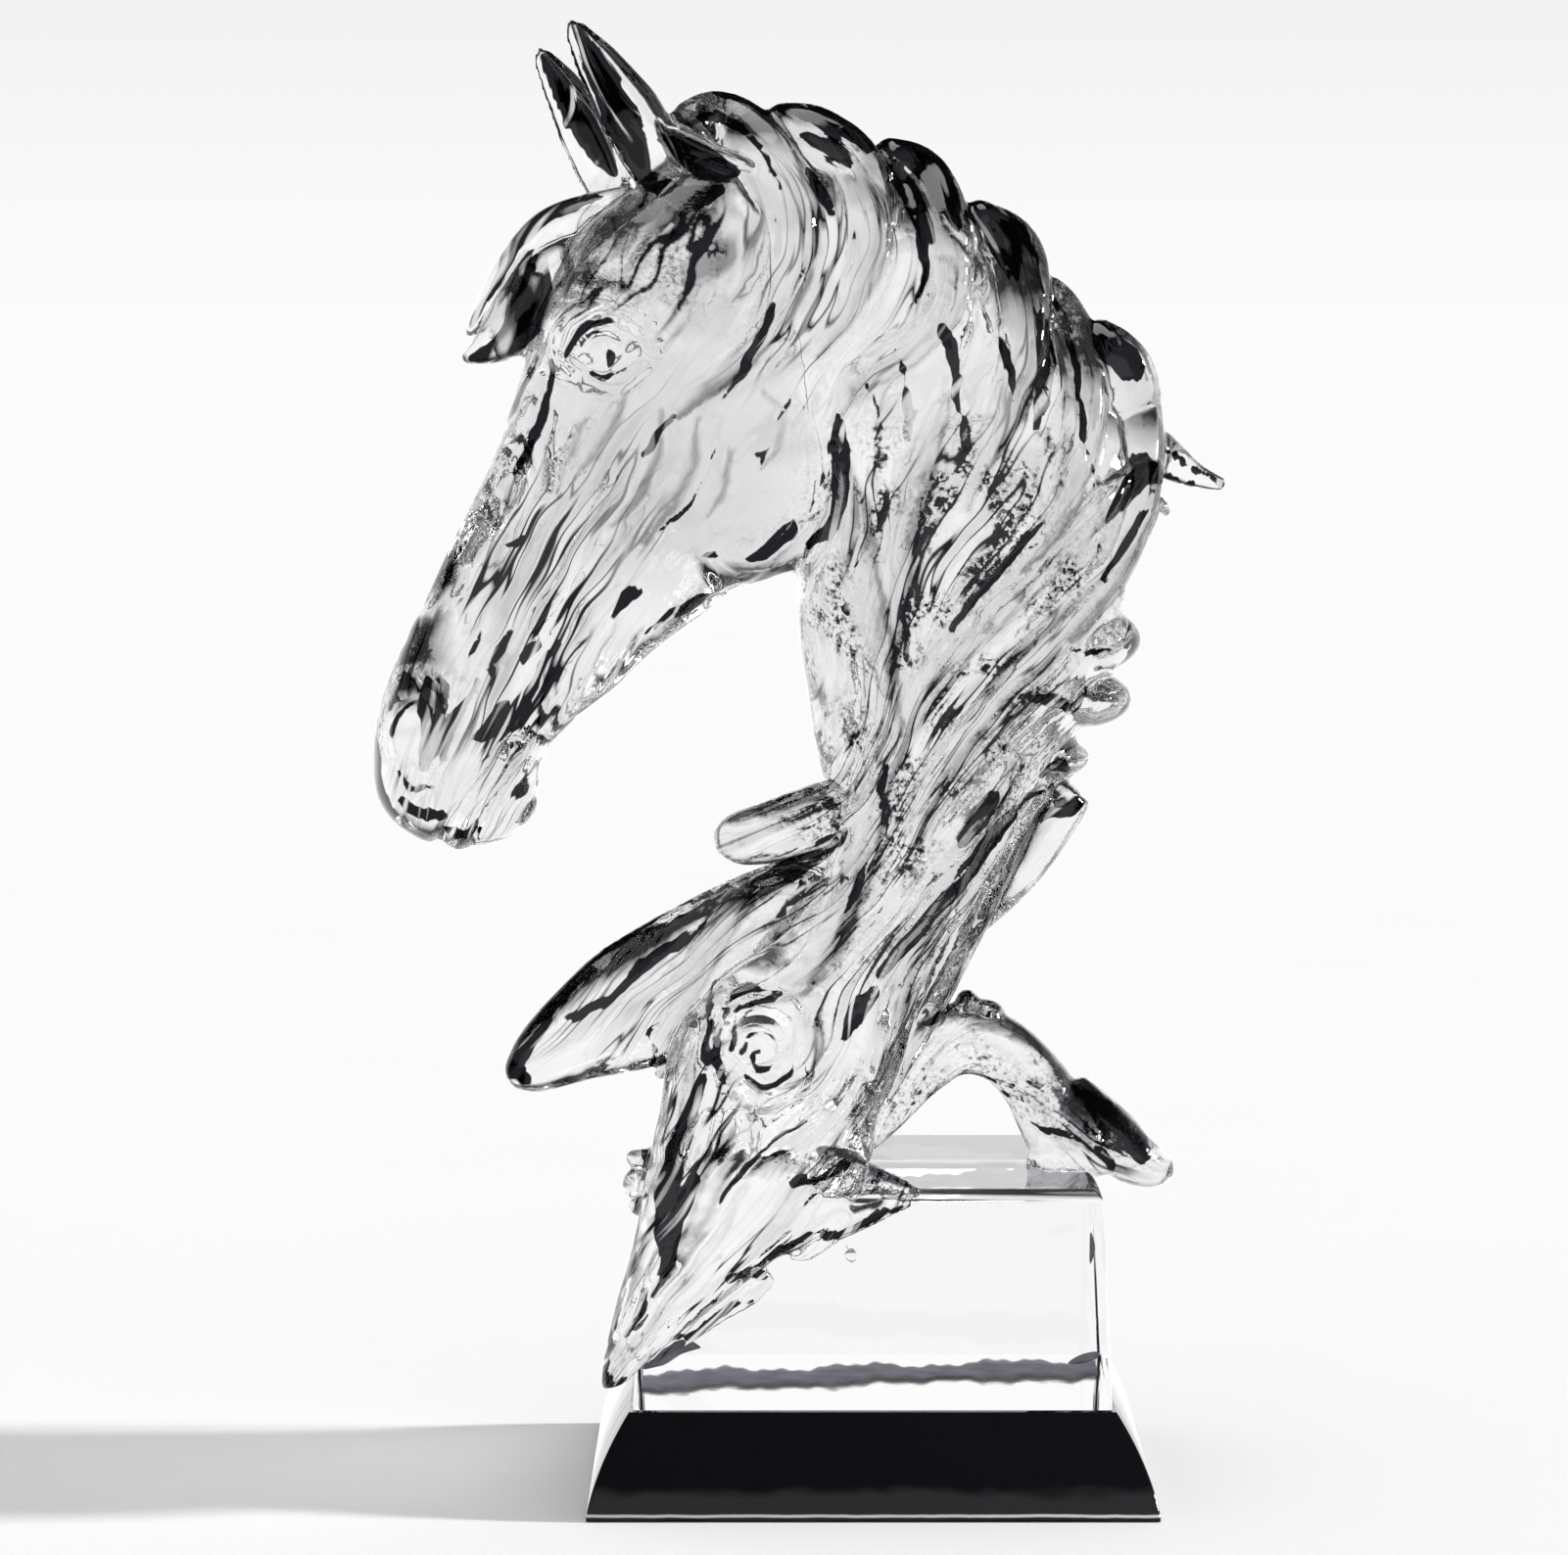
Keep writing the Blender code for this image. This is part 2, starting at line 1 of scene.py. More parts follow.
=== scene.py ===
"""Looks of the clear resin horse sculpture: the carved casting, its black foot and the film in it.

The figure is drawn in units, which are millimetres at its present size, and is fitted to the casting's
box in the frame. What is carved into its surface, and the shade that is painted on it, is drawn on maps
of the front view.
"""

import logging
import math
from dataclasses import dataclass
from enum import Enum

import bmesh
import bpy
import numpy as np
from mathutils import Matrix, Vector
from mathutils.bvhtree import BVHTree


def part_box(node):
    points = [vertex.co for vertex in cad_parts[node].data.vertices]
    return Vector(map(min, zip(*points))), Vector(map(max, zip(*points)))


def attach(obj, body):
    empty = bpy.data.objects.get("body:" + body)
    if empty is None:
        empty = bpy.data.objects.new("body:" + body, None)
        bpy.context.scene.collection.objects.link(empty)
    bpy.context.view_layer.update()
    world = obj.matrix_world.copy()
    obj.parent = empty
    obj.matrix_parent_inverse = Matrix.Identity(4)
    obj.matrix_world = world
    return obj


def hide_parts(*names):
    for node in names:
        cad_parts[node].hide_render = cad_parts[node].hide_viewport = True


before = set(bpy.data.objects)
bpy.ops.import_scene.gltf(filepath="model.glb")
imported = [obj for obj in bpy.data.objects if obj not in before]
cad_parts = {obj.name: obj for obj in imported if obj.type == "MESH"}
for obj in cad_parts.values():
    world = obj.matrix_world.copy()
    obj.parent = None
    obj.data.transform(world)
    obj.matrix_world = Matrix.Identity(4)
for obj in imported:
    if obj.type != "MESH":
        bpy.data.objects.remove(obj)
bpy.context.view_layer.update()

Array = np.ndarray
Rows = tuple[tuple[float, ...], ...]
Terms = list[tuple[bpy.types.NodeSocket, float]]
log = logging.getLogger("horse_sculpture")

CASTING_NODE = "horse_sculpture"
FOOT_NODE = "black_foot"
DRAWN_RISE = 346.2


class Side(Enum):
    """The two sides of the figure. The near one faces the front."""

    NEAR = -1
    FAR = 1


class Slot(Enum):
    """The record's material slots."""

    CLEAR = "clear_resin"
    BLACK = "black_resin"


def eased(rows: Rows | Array, shares: Array) -> Array:
    """Reads rows of numbers at shares of their length, along one smooth curve through them.

    Args:
        rows: The numbers at each station.
        shares: Where to read, from 0 at the first row to 1 at the last.

    Returns:
        One row for each share.
    """
    table = np.asarray(rows, float)
    last = len(table) - 1
    at = np.clip(np.asarray(shares, float), 0, 1) * last
    i = np.minimum(at.astype(int), last - 1)
    t = (at - i)[:, None]
    before, here = table[np.maximum(i - 1, 0)], table[i]
    there, after = table[i + 1], table[np.minimum(i + 2, last)]
    return 0.5 * (
        2 * here
        + (there - before) * t
        + (2 * before - 5 * here + 4 * there - after) * t**2
        + (3 * here - before - 3 * there + after) * t**3
    )


def triangles(obj: bpy.types.Object) -> int:
    """Counts an object's triangles."""
    obj.data.calc_loop_triangles()
    return len(obj.data.loop_triangles)


def new_object(name: str, bm: bmesh.types.BMesh) -> bpy.types.Object:
    """Makes an object from a bmesh, which it frees.

    Args:
        name: The object's name.
        bm: Its shape, in place.

    Returns:
        The new object, linked to the scene.
    """
    mesh = bpy.data.meshes.new(name)
    bm.to_mesh(mesh)
    bm.free()
    obj = bpy.data.objects.new(name, mesh)
    bpy.context.scene.collection.objects.link(obj)
    return obj


def settle_modifiers(obj: bpy.types.Object) -> None:
    """Applies an object's modifiers to its mesh.

    Args:
        obj: The object.
    """
    graph = bpy.context.evaluated_depsgraph_get()
    mesh = bpy.data.meshes.new_from_object(obj.evaluated_get(graph))
    obj.modifiers.clear()
    obj.data = mesh


def finish_piece(obj: bpy.types.Object, material: bpy.types.Material, slot: Slot, *nodes: str) -> None:
    """Gives a finished piece its material and its body, and reports it.

    Args:
        obj: The piece.
        material: Its finish.
        slot: The record's slot that the finish belongs to; not used.
        nodes: The CAD nodes that it stands for.
    """
    obj.data.materials.clear()
    obj.data.materials.append(material)
    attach(obj, "root")
    if nodes:
        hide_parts(*nodes)
    log.info("%s: %d triangles", obj.name, triangles(obj))


@dataclass(frozen=True)
class Fit:
    """How the drawing lies in the frame, in metres, and the block's sizes in units."""

    unit: float
    low: float
    drawn_low: float = 25.8
    drawn_top: float = 81.0
    half_width: float = 60.0
    half_depth: float = 50.0
    batter: float = 2.5

    def place(self, spots: Array) -> Array:
        """Brings drawn points to their place in the frame."""
        return (spots - (0, 0, self.drawn_low)) * self.unit + (0, 0, self.low)

    def drawn(self, spots: Array) -> Array:
        """Brings points of the frame back to where they were drawn."""
        return (spots - (0, 0, self.low)) / self.unit + (0, 0, self.drawn_low)

    def outside_block(self, spots: Array, slack: float = 0.08) -> Array:
        """Tells which drawn points lie outside the block, by more than the slack.

        Args:
            spots: The points.
            slack: How far outside they have to be, in units.

        Returns:
            A mask of the points.
        """
        x, y, z = spots.T
        inset = self.batter * (z - self.drawn_low) / (self.drawn_top - self.drawn_low)
        beside = np.abs(x) > self.half_width - inset + slack
        before = np.abs(y) > self.half_depth - inset + slack
        return beside | before | (z > self.drawn_top + slack)


class Sheet:
    """A map over the front view, one value for each half unit."""

    cell = 0.5
    low = (-134.0, 22.0)
    high = (96.0, 380.0)
    border = 1.001
    path_step = 0.8
    thinnest = 0.25
    oval_slope = 2.0

    def __init__(self) -> None:
        """Starts with 0 everywhere."""
        x = np.arange(self.low[0], self.high[0], self.cell)
        z = np.arange(self.low[1], self.high[1], self.cell)
        self.x, self.z = np.meshgrid(x, z)
        self.values = np.zeros(self.x.shape)

    def read(self, x: Array, z: Array) -> Array:
        """Reads the map between its points.

        Args:
            x: Places across.
            z: Heights.

        Returns:
            The map's value at each.
        """
        rows, columns = self.values.shape
        u = np.clip((x - self.low[0]) / self.cell, 0, columns - self.border)
        v = np.clip((z - self.low[1]) / self.cell, 0, rows - self.border)
        i, j = u.astype(int), v.astype(int)
        s, t = u - i, v - j
        lower = self.values[j, i] * (1 - s) + self.values[j, i + 1] * s
        upper = self.values[j + 1, i] * (1 - s) + self.values[j + 1, i + 1] * s
        return lower * (1 - t) + upper * t

    def oval(self, x: float, z: float, half_width: float, half_height: float) -> Array:
        """An oval mask: 1 in its middle and 0 from its edge on."""
        away = np.hypot((self.x - x) / half_width, (self.z - z) / half_height)
        return np.clip(self.oval_slope * (1 - away), 0, 1)

    def _near(self, path: Rows, margin: float) -> tuple[Array, Array, Array]:
        """Finds what lies near a path.

        Args:
            path: Its points x, z and its half width at each.
            margin: How far beyond the half width to look.

        Returns:
            Which points of the map lie near, how far each is from every point of the path, and the half
            width at every point of the path.
        """
        rows = list(path) * (2 if len(path) == 1 else 1)
        span = sum(math.dist(a[:2], b[:2]) for a, b in zip(rows, rows[1:]))
        line = eased(rows, np.linspace(0, 1, 2 + int(span / self.path_step)))
        half = np.maximum(line[:, 2], self.thinnest)
        reach = half.max() + margin
        near = (self.x > line[:, 0].min() - reach) & (self.x < line[:, 0].max() + reach)
        near &= (self.z > line[:, 1].min() - reach) & (self.z < line[:, 1].max() + reach)
        away = np.hypot(self.x[near][:, None] - line[:, 0], self.z[near][:, None] - line[:, 1])
        return near, away, half

    def draw(self, path: Rows, value: float, sharp: float = 1.0) -> None:
        """Adds a leaf-shaped ridge, so high in its middle and with so sharp a crest, to the map."""
        near, away, half = self._near(path, 0.0)
        self.values[near] += value * np.clip(1 - (away / half).min(1) ** 2, 0, 1) ** sharp

    def mark(self, path: Rows, soft: float = 3.0) -> None:
        """Marks a leaf-shaped spot: 0.5 at its outline, more inside it and less outside, down to 0."""
        near, away, half = self._near(path, soft)
        self.values[near] = np.maximum(self.values[near], 0.5 + (half - away).max(1) / soft)


def wander(x: Array, z: Array, size: float, reach: float) -> tuple[Array, Array]:
    """Moves points of the front view about, so that what is drawn there gets an uneven outline.

    Args:
        x: Their places across.
        z: Their heights.
        size: About how far it is from bend to bend, in units.
        reach: About how far a point is moved.

    Returns:
        The new places across and the new heights.
    """
    a, b = x / size, z / size
    return (
        x + reach * (np.sin(1.7 * b + 1.3 * np.sin(1.1 * a)) + 0.5 * np.sin(3.9 * b - 2.3 * a)),
        z + reach * (np.sin(1.9 * a - 1.1 * np.sin(1.3 * b)) + 0.5 * np.sin(4.3 * a + 1.7 * b)),
    )


class Flow:
    """The way the resin runs over the figure, read from guide lines."""

    guide_steps = 6
    blur = 12.0
    spare_cells = 3

    def __init__(self, guides: list[Rows]) -> None:
        """Works out the run at every point of the front view from the guides near it.

        Args:
            guides: Paths whose points start with x and z.
        """
        self.cos, self.sin = Sheet(), Sheet()
        x, z = self.cos.x, self.cos.z
        for guide in guides:
            line = eased([row[:2] for row in guide], np.linspace(0, 1, self.guide_steps * len(guide)))
            for point, step in zip((line[1:] + line[:-1]) / 2, np.diff(line, axis=0)):
                weight = 1 / ((x - point[0]) ** 2 + (z - point[1]) ** 2 + self.blur) ** 2
                weight /= math.hypot(*step)
                self.cos.values += weight * step[0]
                self.sin.values += weight * step[1]
        size = np.hypot(self.cos.values, self.sin.values)
        self.cos.values /= size
        self.sin.values /= size

    def across(self, skip: int = 4, even: float = 0.12, rounds: int = 500) -> Sheet:
        """Works out a distance across the run, whose contour lines follow the run.

        Args:
            skip: How coarse the reckoning is, in points of the maps.
            even: How much even spacing counts beside keeping to the run.
            rounds: How often the reckoning is bettered.

        Returns:
            The distance, in units.
        """
        c, s = self.cos.values[::skip, ::skip], self.sin.values[::skip, ::skip]

        def gather(right: Array, upward: Array) -> Array:
            """Undoes the taking of differences, as its adjoint.

            Args:
                right: Values for the steps to the right.
                upward: Values for the steps upwards.

            Returns:
                One value for each point.
            """
            out = np.zeros_like(right)
            out[:, 1:] += right[:, :-1]
            out[:, :-1] -= right[:, :-1]
            out[1:] += upward[:-1]
            out[:-1] -= upward[:-1]
            return out

        def press(values: Array) -> Array:
            """Finds how the values pull against the run.

            Args:
                values: A distance at each point.

            Returns:
                The pull on each.
            """
            right = np.diff(values, axis=1, append=values[:, -1:])
            upward = np.diff(values, axis=0, append=values[-1:])
            along, over = right * c + upward * s, even * (upward * c - right * s)
            return gather(along * c - over * s, along * s + over * c)

        rest = gather(-even * s, even * c)
        values, way, left = np.zeros_like(c), rest, (rest**2).sum()
        for _ in range(rounds):
            pull = press(way)
            share = left / (way * pull).sum()
            values = values + share * way
            rest = rest - share * pull
            last, left = left, (rest**2).sum()
            way = rest + left / last * way
        coarse, sheet = Sheet(), Sheet()
        coarse.values, coarse.cell = values * skip * sheet.cell, skip * sheet.cell
        sheet.values = coarse.read(sheet.x, sheet.z)
        return sheet

    def streaks(self, cell: float, length: float, seed: int) -> Sheet:
        """Draws random streaks along the run of the resin.

        Args:
            cell: How wide a streak is.
            length: How long it is.
            seed: What the random values start from.

        Returns:
            The streaks, about 0 and mostly between -2 and 2.
        """
        dice = np.random.default_rng(seed)
        sheet, grain = Sheet(), Sheet()
        rows, columns = (int(n * sheet.cell / cell) + self.spare_cells for n in sheet.values.shape)
        grain.values, grain.cell = dice.random((rows, columns)), cell
        for step in (-cell, cell):
            x, z = sheet.x.copy(), sheet.z.copy()
            for _ in range(int(length / 2 / cell)):
                x, z = x + step * self.cos.read(x, z), z + step * self.sin.read(x, z)
                sheet.values += grain.read(x, z)
        sheet.values -= sheet.values.mean()
        sheet.values /= sheet.values.std()
        return sheet


class Clay:
    """Raw closed shapes, laid over one another in one bmesh, before they are skinned as one.

    An ear's widths are read at its shares of the way from its foot to its tip.
    """

    squareness = 0.85
    pole = 1e-6
    glance = 0.01
    far = 200.0
    lump_points = (24, 16)
    ear_points = 40
    ear_shares = (0, 0.2, 0.45, 0.75, 0.93, 1)
    ear_widths = (0.85, 1.0, 0.98, 0.66, 0.34, 0.0)
    ear_rim = 1.6
    ear_bowl = 0.62
    ear_bow = 1.5

    def __init__(self) -> None:
        """Starts with nothing."""
        self.bm = bmesh.new()

    def _ball(self, around: int, along: int) -> tuple[list, Array, Array]:
        """Makes a new ball, for the shapes to be drawn out of.

        Args:
            around: Points round it.
            along: Points from pole to pole.

        Returns:
            Its vertices, each one's share of the way between the poles, and its angle.
        """
        ball = bmesh.ops.create_uvsphere(self.bm, u_segments=around, v_segments=along, radius=1)
        verts = ball["verts"]
        spots = np.array([v.co for v in verts])
        shares = np.arccos(np.clip(spots[:, 2], -1, 1)) / math.pi
        return verts, shares, np.arctan2(spots[:, 1], spots[:, 0])

    def _settle(self, verts: list, spots: Array) -> list:
        """Moves one closed shape's vertices to their spots and turns its faces outwards.

        Args:
            verts: The vertices.
            spots: The place of each.

        Returns:
            The vertices.
        """
        for vert, spot in zip(verts, spots):
            vert.co = spot
        bmesh.ops.recalc_face_normals(self.bm, faces=list({f for v in verts for f in v.link_faces}))
        return verts

    def body(self, sections: Rows, around: int = 48, along: int = 90) -> list:
        """Adds a body between two outlines, with sections a little squarer than ovals.

        Args:
            sections: Upper outline x, z, lower outline x, z, middle y, half width and upper fullness.
            around: Points round a section.
            along: Sections from end to end.

        Returns:
            Its vertices.
        """
        verts, shares, angles = self._ball(around, along)
        top_x, top_z, low_x, low_z, mid_y, half, lean = eased(sections, shares).T
        up, out = (np.sign(v) * np.abs(v) ** self.squareness for v in (np.cos(angles), np.sin(angles)))
        open_ring = (shares > self.pole) & (shares < 1 - self.pole)
        x = (top_x + low_x) / 2 + (top_x - low_x) / 2 * up * open_ring
        z = (top_z + low_z) / 2 + (top_z - low_z) / 2 * up * open_ring
        y = mid_y + half * out * (1 + lean * up) * open_ring
        return self._settle(verts, np.column_stack((x, y, z)))

    def limb(self, rows: Rows, around: int = 16, along: int = 36, cap: float = 0.05) -> list:
        """Adds a limb with oval sections along a spine.

        Args:
            rows: Spine x, y, z, half width across the front view, half thickness.
            around: Points round a section.
            along: Sections from end to end.
            cap: The share of its length over which each end rounds off.

        Returns:
            Its vertices.
        """
        verts, shares, angles = self._ball(around, along)
        values = eased(rows, shares)
        ahead = eased(rows, shares + self.glance)[:, :3] - eased(rows, shares - self.glance)[:, :3]
        ahead /= np.linalg.norm(ahead, axis=1)[:, None]
        side = np.cross(ahead, (0, 1, 0))
        side /= np.linalg.norm(side, axis=1)[:, None]
        deep = np.cross(side, ahead)
        near_end = np.clip(np.minimum(shares, 1 - shares) / cap, 0, 1)
        size = np.sqrt(1 - (1 - near_end) ** 2)[:, None]
        wide = side * (values[:, 3] * np.cos(angles))[:, None]
        thick = deep * (values[:, 4] * np.sin(angles))[:, None]
        return self._settle(verts, values[:, :3] + size * (wide + thick))

    def ear(self, base: tuple, tip: tuple, opens: tuple, half_width: float, depth: float) -> list:
        """Adds a pointed ear: a leaf with a round back and a hollow that opens one way.

        Args:
            base: Its foot on the head.
            tip: Its point.
            opens: The way its hollow faces.
            half_width: Half its greatest width.
            depth: How far its back stands behind its rims.

        Returns:
            Its vertices.
        """
        verts, shares, angles = self._ball(self.ear_points, self.ear_points)
        base, tip, opens = (np.array(v, float) for v in (base, tip, opens))
        axis = (tip - base) / np.linalg.norm(tip - base)
        opens -= axis * (opens @ axis)
        opens /= np.linalg.norm(opens)
        across = np.cross(axis, opens)
        leaf = np.interp(shares, self.ear_shares, self.ear_widths)
        inward = np.clip(np.abs(angles) / (math.pi / 2) - 1, 0, 1)
        hollow = self.ear_rim * inward * (1 - inward) - self.ear_bowl * inward**2 * (3 - 2 * inward)
        bow = self.ear_bow * np.sin(shares * math.pi)
        ahead = depth * np.where(inward > 0, hollow, -np.cos(angles)) * leaf - bow
        sideways = half_width * leaf * np.sin(angles)
        spots = base + (tip - base) * shares[:, None] + opens * ahead[:, None]
        return self._settle(verts, spots + across * sideways[:, None])

    def lump(self, middle: tuple, half_sizes: tuple) -> list:
        """Adds a rounded lump.

        Args:
            middle: Its middle.
            half_sizes: Half its width, depth and height.

        Returns:
            Its vertices.
        """
        verts, shares, angles = self._ball(*self.lump_points)
        ring = np.sin(shares * math.pi)
        spots = np.column_stack((ring * np.cos(angles), ring * np.sin(angles), np.cos(shares * math.pi)))
        return self._settle(verts, spots * half_sizes + np.array(middle, float))

    def surface_y(self, tree: BVHTree, x: float, z: float, side: Side) -> float:
        """Finds the surface in front of, or behind, a point of the front view.

        Args:
            tree: The shapes so far.
            x: The point's place across.
            z: Its height.
            side: Which side to look from.

        Returns:
            The surface's y there, or that of the part of it that is nearest to the middle plane there.
        """
        spot = tree.ray_cast(Vector((x, side.value * self.far, z)), Vector((0, -side.value, 0)))[0]
        if spot is None:
            spot = tree.find_nearest(Vector((x, 0, z)))[0]
        return spot.y


@dataclass
class Figure:
    """The figure's large shapes: two heads on one neck, mane, lobes, leg and runs on the block.

    The skull and the neck are sections for Clay.body, and each limb is rows for Clay.limb. An ear is its
    foot, its tip, the way it opens, its half width and its depth. Lumps are x, y, z and half sizes. Those
    of the head are x, z, how far out they lie, and half sizes, and lie on both sides. The locks and the
    drips are rows of x, z and half width.
    """

    head_turn: float = math.radians(12.0)
    head_pivot: float = -20.0
    front: float = 48.5
    sunk: float = 0.38
    flatness: float = 0.8
    proud: float = 0.2
    lock_points: int = 14
    lock_sections: int = 40

    skull: Rows = (
        (-42, 344, -5, 278, 0, 20, 0.00),
        (-56, 333, -4, 261, 0, 25, 0.05),
        (-72, 321, -8, 240, 0, 28.5, 0.10),
        (-83, 300, -22, 232, 0, 28.5, 0.10),
        (-88, 285, -36, 227, 0, 25.5, 0.05),
        (-93, 269, -47, 220, 0, 21, -0.10),
        (-99, 255, -57, 212.5, 0, 17.5, -0.20),
        (-106, 241, -66, 204, 0, 15.5, -0.20),
        (-113, 226, -75, 197, 0, 15, -0.10),
        (-120, 211, -81, 191, 0, 16.5, 0.05),
        (-124, 200, -84, 186, 0, 18.5, 0.12),
        (-125.5, 188, -85, 180, 0, 18.5, 0.08),
        (-125, 178, -87, 174, 0, 16.5, 0.0),
        (-121, 171, -92, 167, 0, 13, 0.0),
        (-114, 166, -103, 164, 0, 7, 0.0),
    )
    neck: Rows = (
        (-46, 346, -26, 300, 0, 17, 0.00),
        (-24, 346, -18, 268, 0, 23, -0.10),
        (2, 337, -18, 243, 0, 26, -0.15),
        (25, 322, -19, 228, 0, 28, -0.15),
        (45, 300, -18, 213, 0, 29, -0.10),
        (61, 280, -16, 201, 0, 29, -0.05),
        (69, 259, -14, 188, 0, 29, 0.00),
        (66, 232, -12, 180, 0, 28, 0.00),
        (58, 204, -10, 170, -2, 26, 0.00),
        (46, 178, -12, 157, -4, 24, 0.00),
        (32, 151, -25, 141, -8, 23, 0.00),
        (20, 127, -41, 128, -14, 23, 0.00),
        (11, 111, -51, 114, -22, 22.5, 0.00),
        (2, 98, -54, 99, -30, 21.5, 0.00),
        (-1, 86, -57, 84, -38, 19, 0.00),
        (-14, 72, -60, 68, -44, 15.5, 0.00),
        (-31, 59, -64, 54, -49, 12, 0.00),
        (-49, 45, -67, 41, -51.5, 8, 0.00),
        (-63, 32, -68, 31, -52, 4, 0.00),
    )
    limbs: tuple[Rows, ...] = (
        ((-8, -10, 151, 14, 9), (-27, -10, 140, 17.5, 9.5), (-46, -11, 130, 18, 9),
         (-62, -12, 122, 16.5, 8.5), (-76, -13, 114.5, 12, 7), (-87, -14, 107.5, 7.5, 5),
         (-93, -14, 104.5, 2.5, 2.5)),
        ((-2, -10, 174, 8, 8), (-14, -12, 170.5, 9, 9), (-26, -14, 167.5, 8, 8),
         (-35, -15, 166, 6.5, 7), (-40, -15, 165.5, 3, 3.5)),
        ((4, -10, 136, 7, 8), (20, -10, 146, 9, 9), (34, -10, 158, 9, 9), (45, -10, 170, 7.5, 8),
         (52.5, -10, 178.5, 5, 6)),
        ((66, 0, 264, 9, 9), (72, 0, 263, 7.5, 7.5), (76, 0, 261.5, 5.4, 5.4),
         (81.5, 0, 258.3, 3.6, 3.6), (86.5, 0, 256.3, 2.4, 2.4), (90.5, 0, 255.2, 1.6, 1.6)),
        ((68, 2, 252, 4, 4), (74, 2, 250, 2.2, 2.2), (76, 2, 247, 0.8, 0.8)),
        ((-6, -17, 87, 5, 8), (2, -14, 97.5, 8, 9), (10, -12, 108.5, 10.5, 10),
         (21, -10, 114, 9.6, 10.5), (32, -9, 112, 8.7, 11), (40, -8, 105, 8.8, 11.5),
         (46, -7, 96, 9.5, 12), (52, -6, 87, 13, 13), (54, -6, 77, 13.5, 12)),
        ((50, -6, 102, 5, 7), (59, -6, 91, 7.5, 9.5), (66, -6, 84, 7.5, 10), (73, -6, 80.5, 5.5, 8),
         (78, -6, 80, 2.0, 4)),
        ((-58, 4, 327, 5, 9), (-70, 4, 324, 6, 10), (-81, 3, 319, 7, 10), (-90, 2, 310, 6, 8),
         (-97, 1, 301, 4, 5), (-103, 0, 293, 1.0, 2)),
        ((-68, -2, 314, 7, 9), (-79, -3, 309, 9, 10), (-87, -4, 300, 9, 9), (-95, -5, 292, 6, 6.5),
         (-104, -6, 287, 1.0, 2)),
        ((-53, -15, 346, 1.8, 3), (-45, -18, 341.5, 2.6, 3.5), (-37, -20, 338, 2.6, 4),
         (-30, -22, 335.5, 1.2, 2)),
    )
    ears: tuple[tuple, ...] = (
        ((-51, -13, 331), (-77, -17, 373), (-0.62, -0.78, 0.0), 9.4, 7.0),
        ((-66, 10, 329), (-86, 13, 367), (-0.75, -0.66, 0.0), 9, 6.5),
    )
    head_lumps: Rows = (
        (-32, 259, 17, 25, 11.5, 25),
        (-71, 291, 17, 14, 8.5, 12),
        (-70, 290.5, 21.5, 7.0, 4.6, 6.0),
        (-116, 194, 12, 7.5, 5.8, 10),
        (-92, 176, 4, 6.5, 7, 7),
    )
    lumps: Rows = (
        (-28.4, -38, 115, 8.5, 7, 8.5),
        (-22, 0, 121, 8, 8, 8),
        (56, -2, 216, 13, 19, 8.5),
        (54, -3, 201, 12.5, 18, 7.5),
        (44, -4, 186, 12, 16, 6),
        (-58, -31, 86.5, 4.6, 4.0, 2.6),
        (-59.5, -33, 80.5, 3.6, 4.0, 3.6),
        (-58.5, -35, 75, 3.0, 3.6, 2.4),
        (24.5, -10, 122.5, 3.6, 7, 4.8),
        (29, -10, 120.5, 5.5, 7, 4.0),
        (-13, -11, 163, 9, 7, 6),
    )
    mane: tuple[Rows, ...] = (
        ((-48, 345, 6), (-39, 346, 9.8), (-28, 338, 9.5), (-20, 321, 7), (-23, 303, 5), (-33, 288, 3.5),
         (-49, 274, 1)),
        ((-28, 346, 7), (-17, 341, 11.5), (-5, 334, 9.5), (-1, 317, 6), (-6, 301, 3.5), (-14, 288, 1)),
        ((0, 336, 8), (10.5, 332, 10), (17, 320, 8.5), (18, 303, 6), (9, 290, 4), (-3, 282, 3),
         (-11, 272, 1)),
        ((21, 322, 8), (32.5, 313, 11.5), (37, 298, 8.5), (35, 281, 6), (29, 266, 4), (23, 251, 1)),
        ((39, 306, 6), (46, 298, 8.5), (52, 283, 8), (51, 265, 6.5), (45, 248, 4.5), (37, 235, 1)),
        ((52, 294, 7), (60, 283, 12.5), (66, 265, 9), (65, 247, 7), (59, 231, 5), (49, 218, 1.5)),
        ((67, 262, 3), (56, 250, 5), (40, 236, 6.5), (25, 221, 6), (13, 206, 5.5), (4, 191, 5),
         (-1, 176, 5), (-4, 161, 5.5), (-10, 146, 5), (-17, 133, 2.5)),
        ((73, 253, 3), (60, 233, 5.5), (43, 216, 6), (28, 198, 5), (15, 181, 4), (10, 166, 1.5)),
        ((-10, 268, 2), (-5, 248, 4.5), (-2, 228, 5), (3, 208, 4), (6, 193, 1.5)),
        ((18, 278, 2), (11, 258, 4.5), (6, 238, 5), (4, 218, 4), (3, 203, 1.5)),
    )
    front_locks: tuple[Rows, ...] = (
        ((36, 188, 3), (24, 166, 5), (13, 146, 5.5), (5, 126, 5), (-1, 106, 2)),
        ((44, 180, 3), (31, 158, 5), (21, 138, 5), (11, 118, 4), (3, 101, 1.5)),
        ((-5, 158, 3), (-11, 141, 5), (-22, 131, 4), (-37, 126, 1.5)),
        ((-32, 152, 3), (-42, 137, 4), (-50, 121, 3.5), (-54, 103, 1.5)),
    )
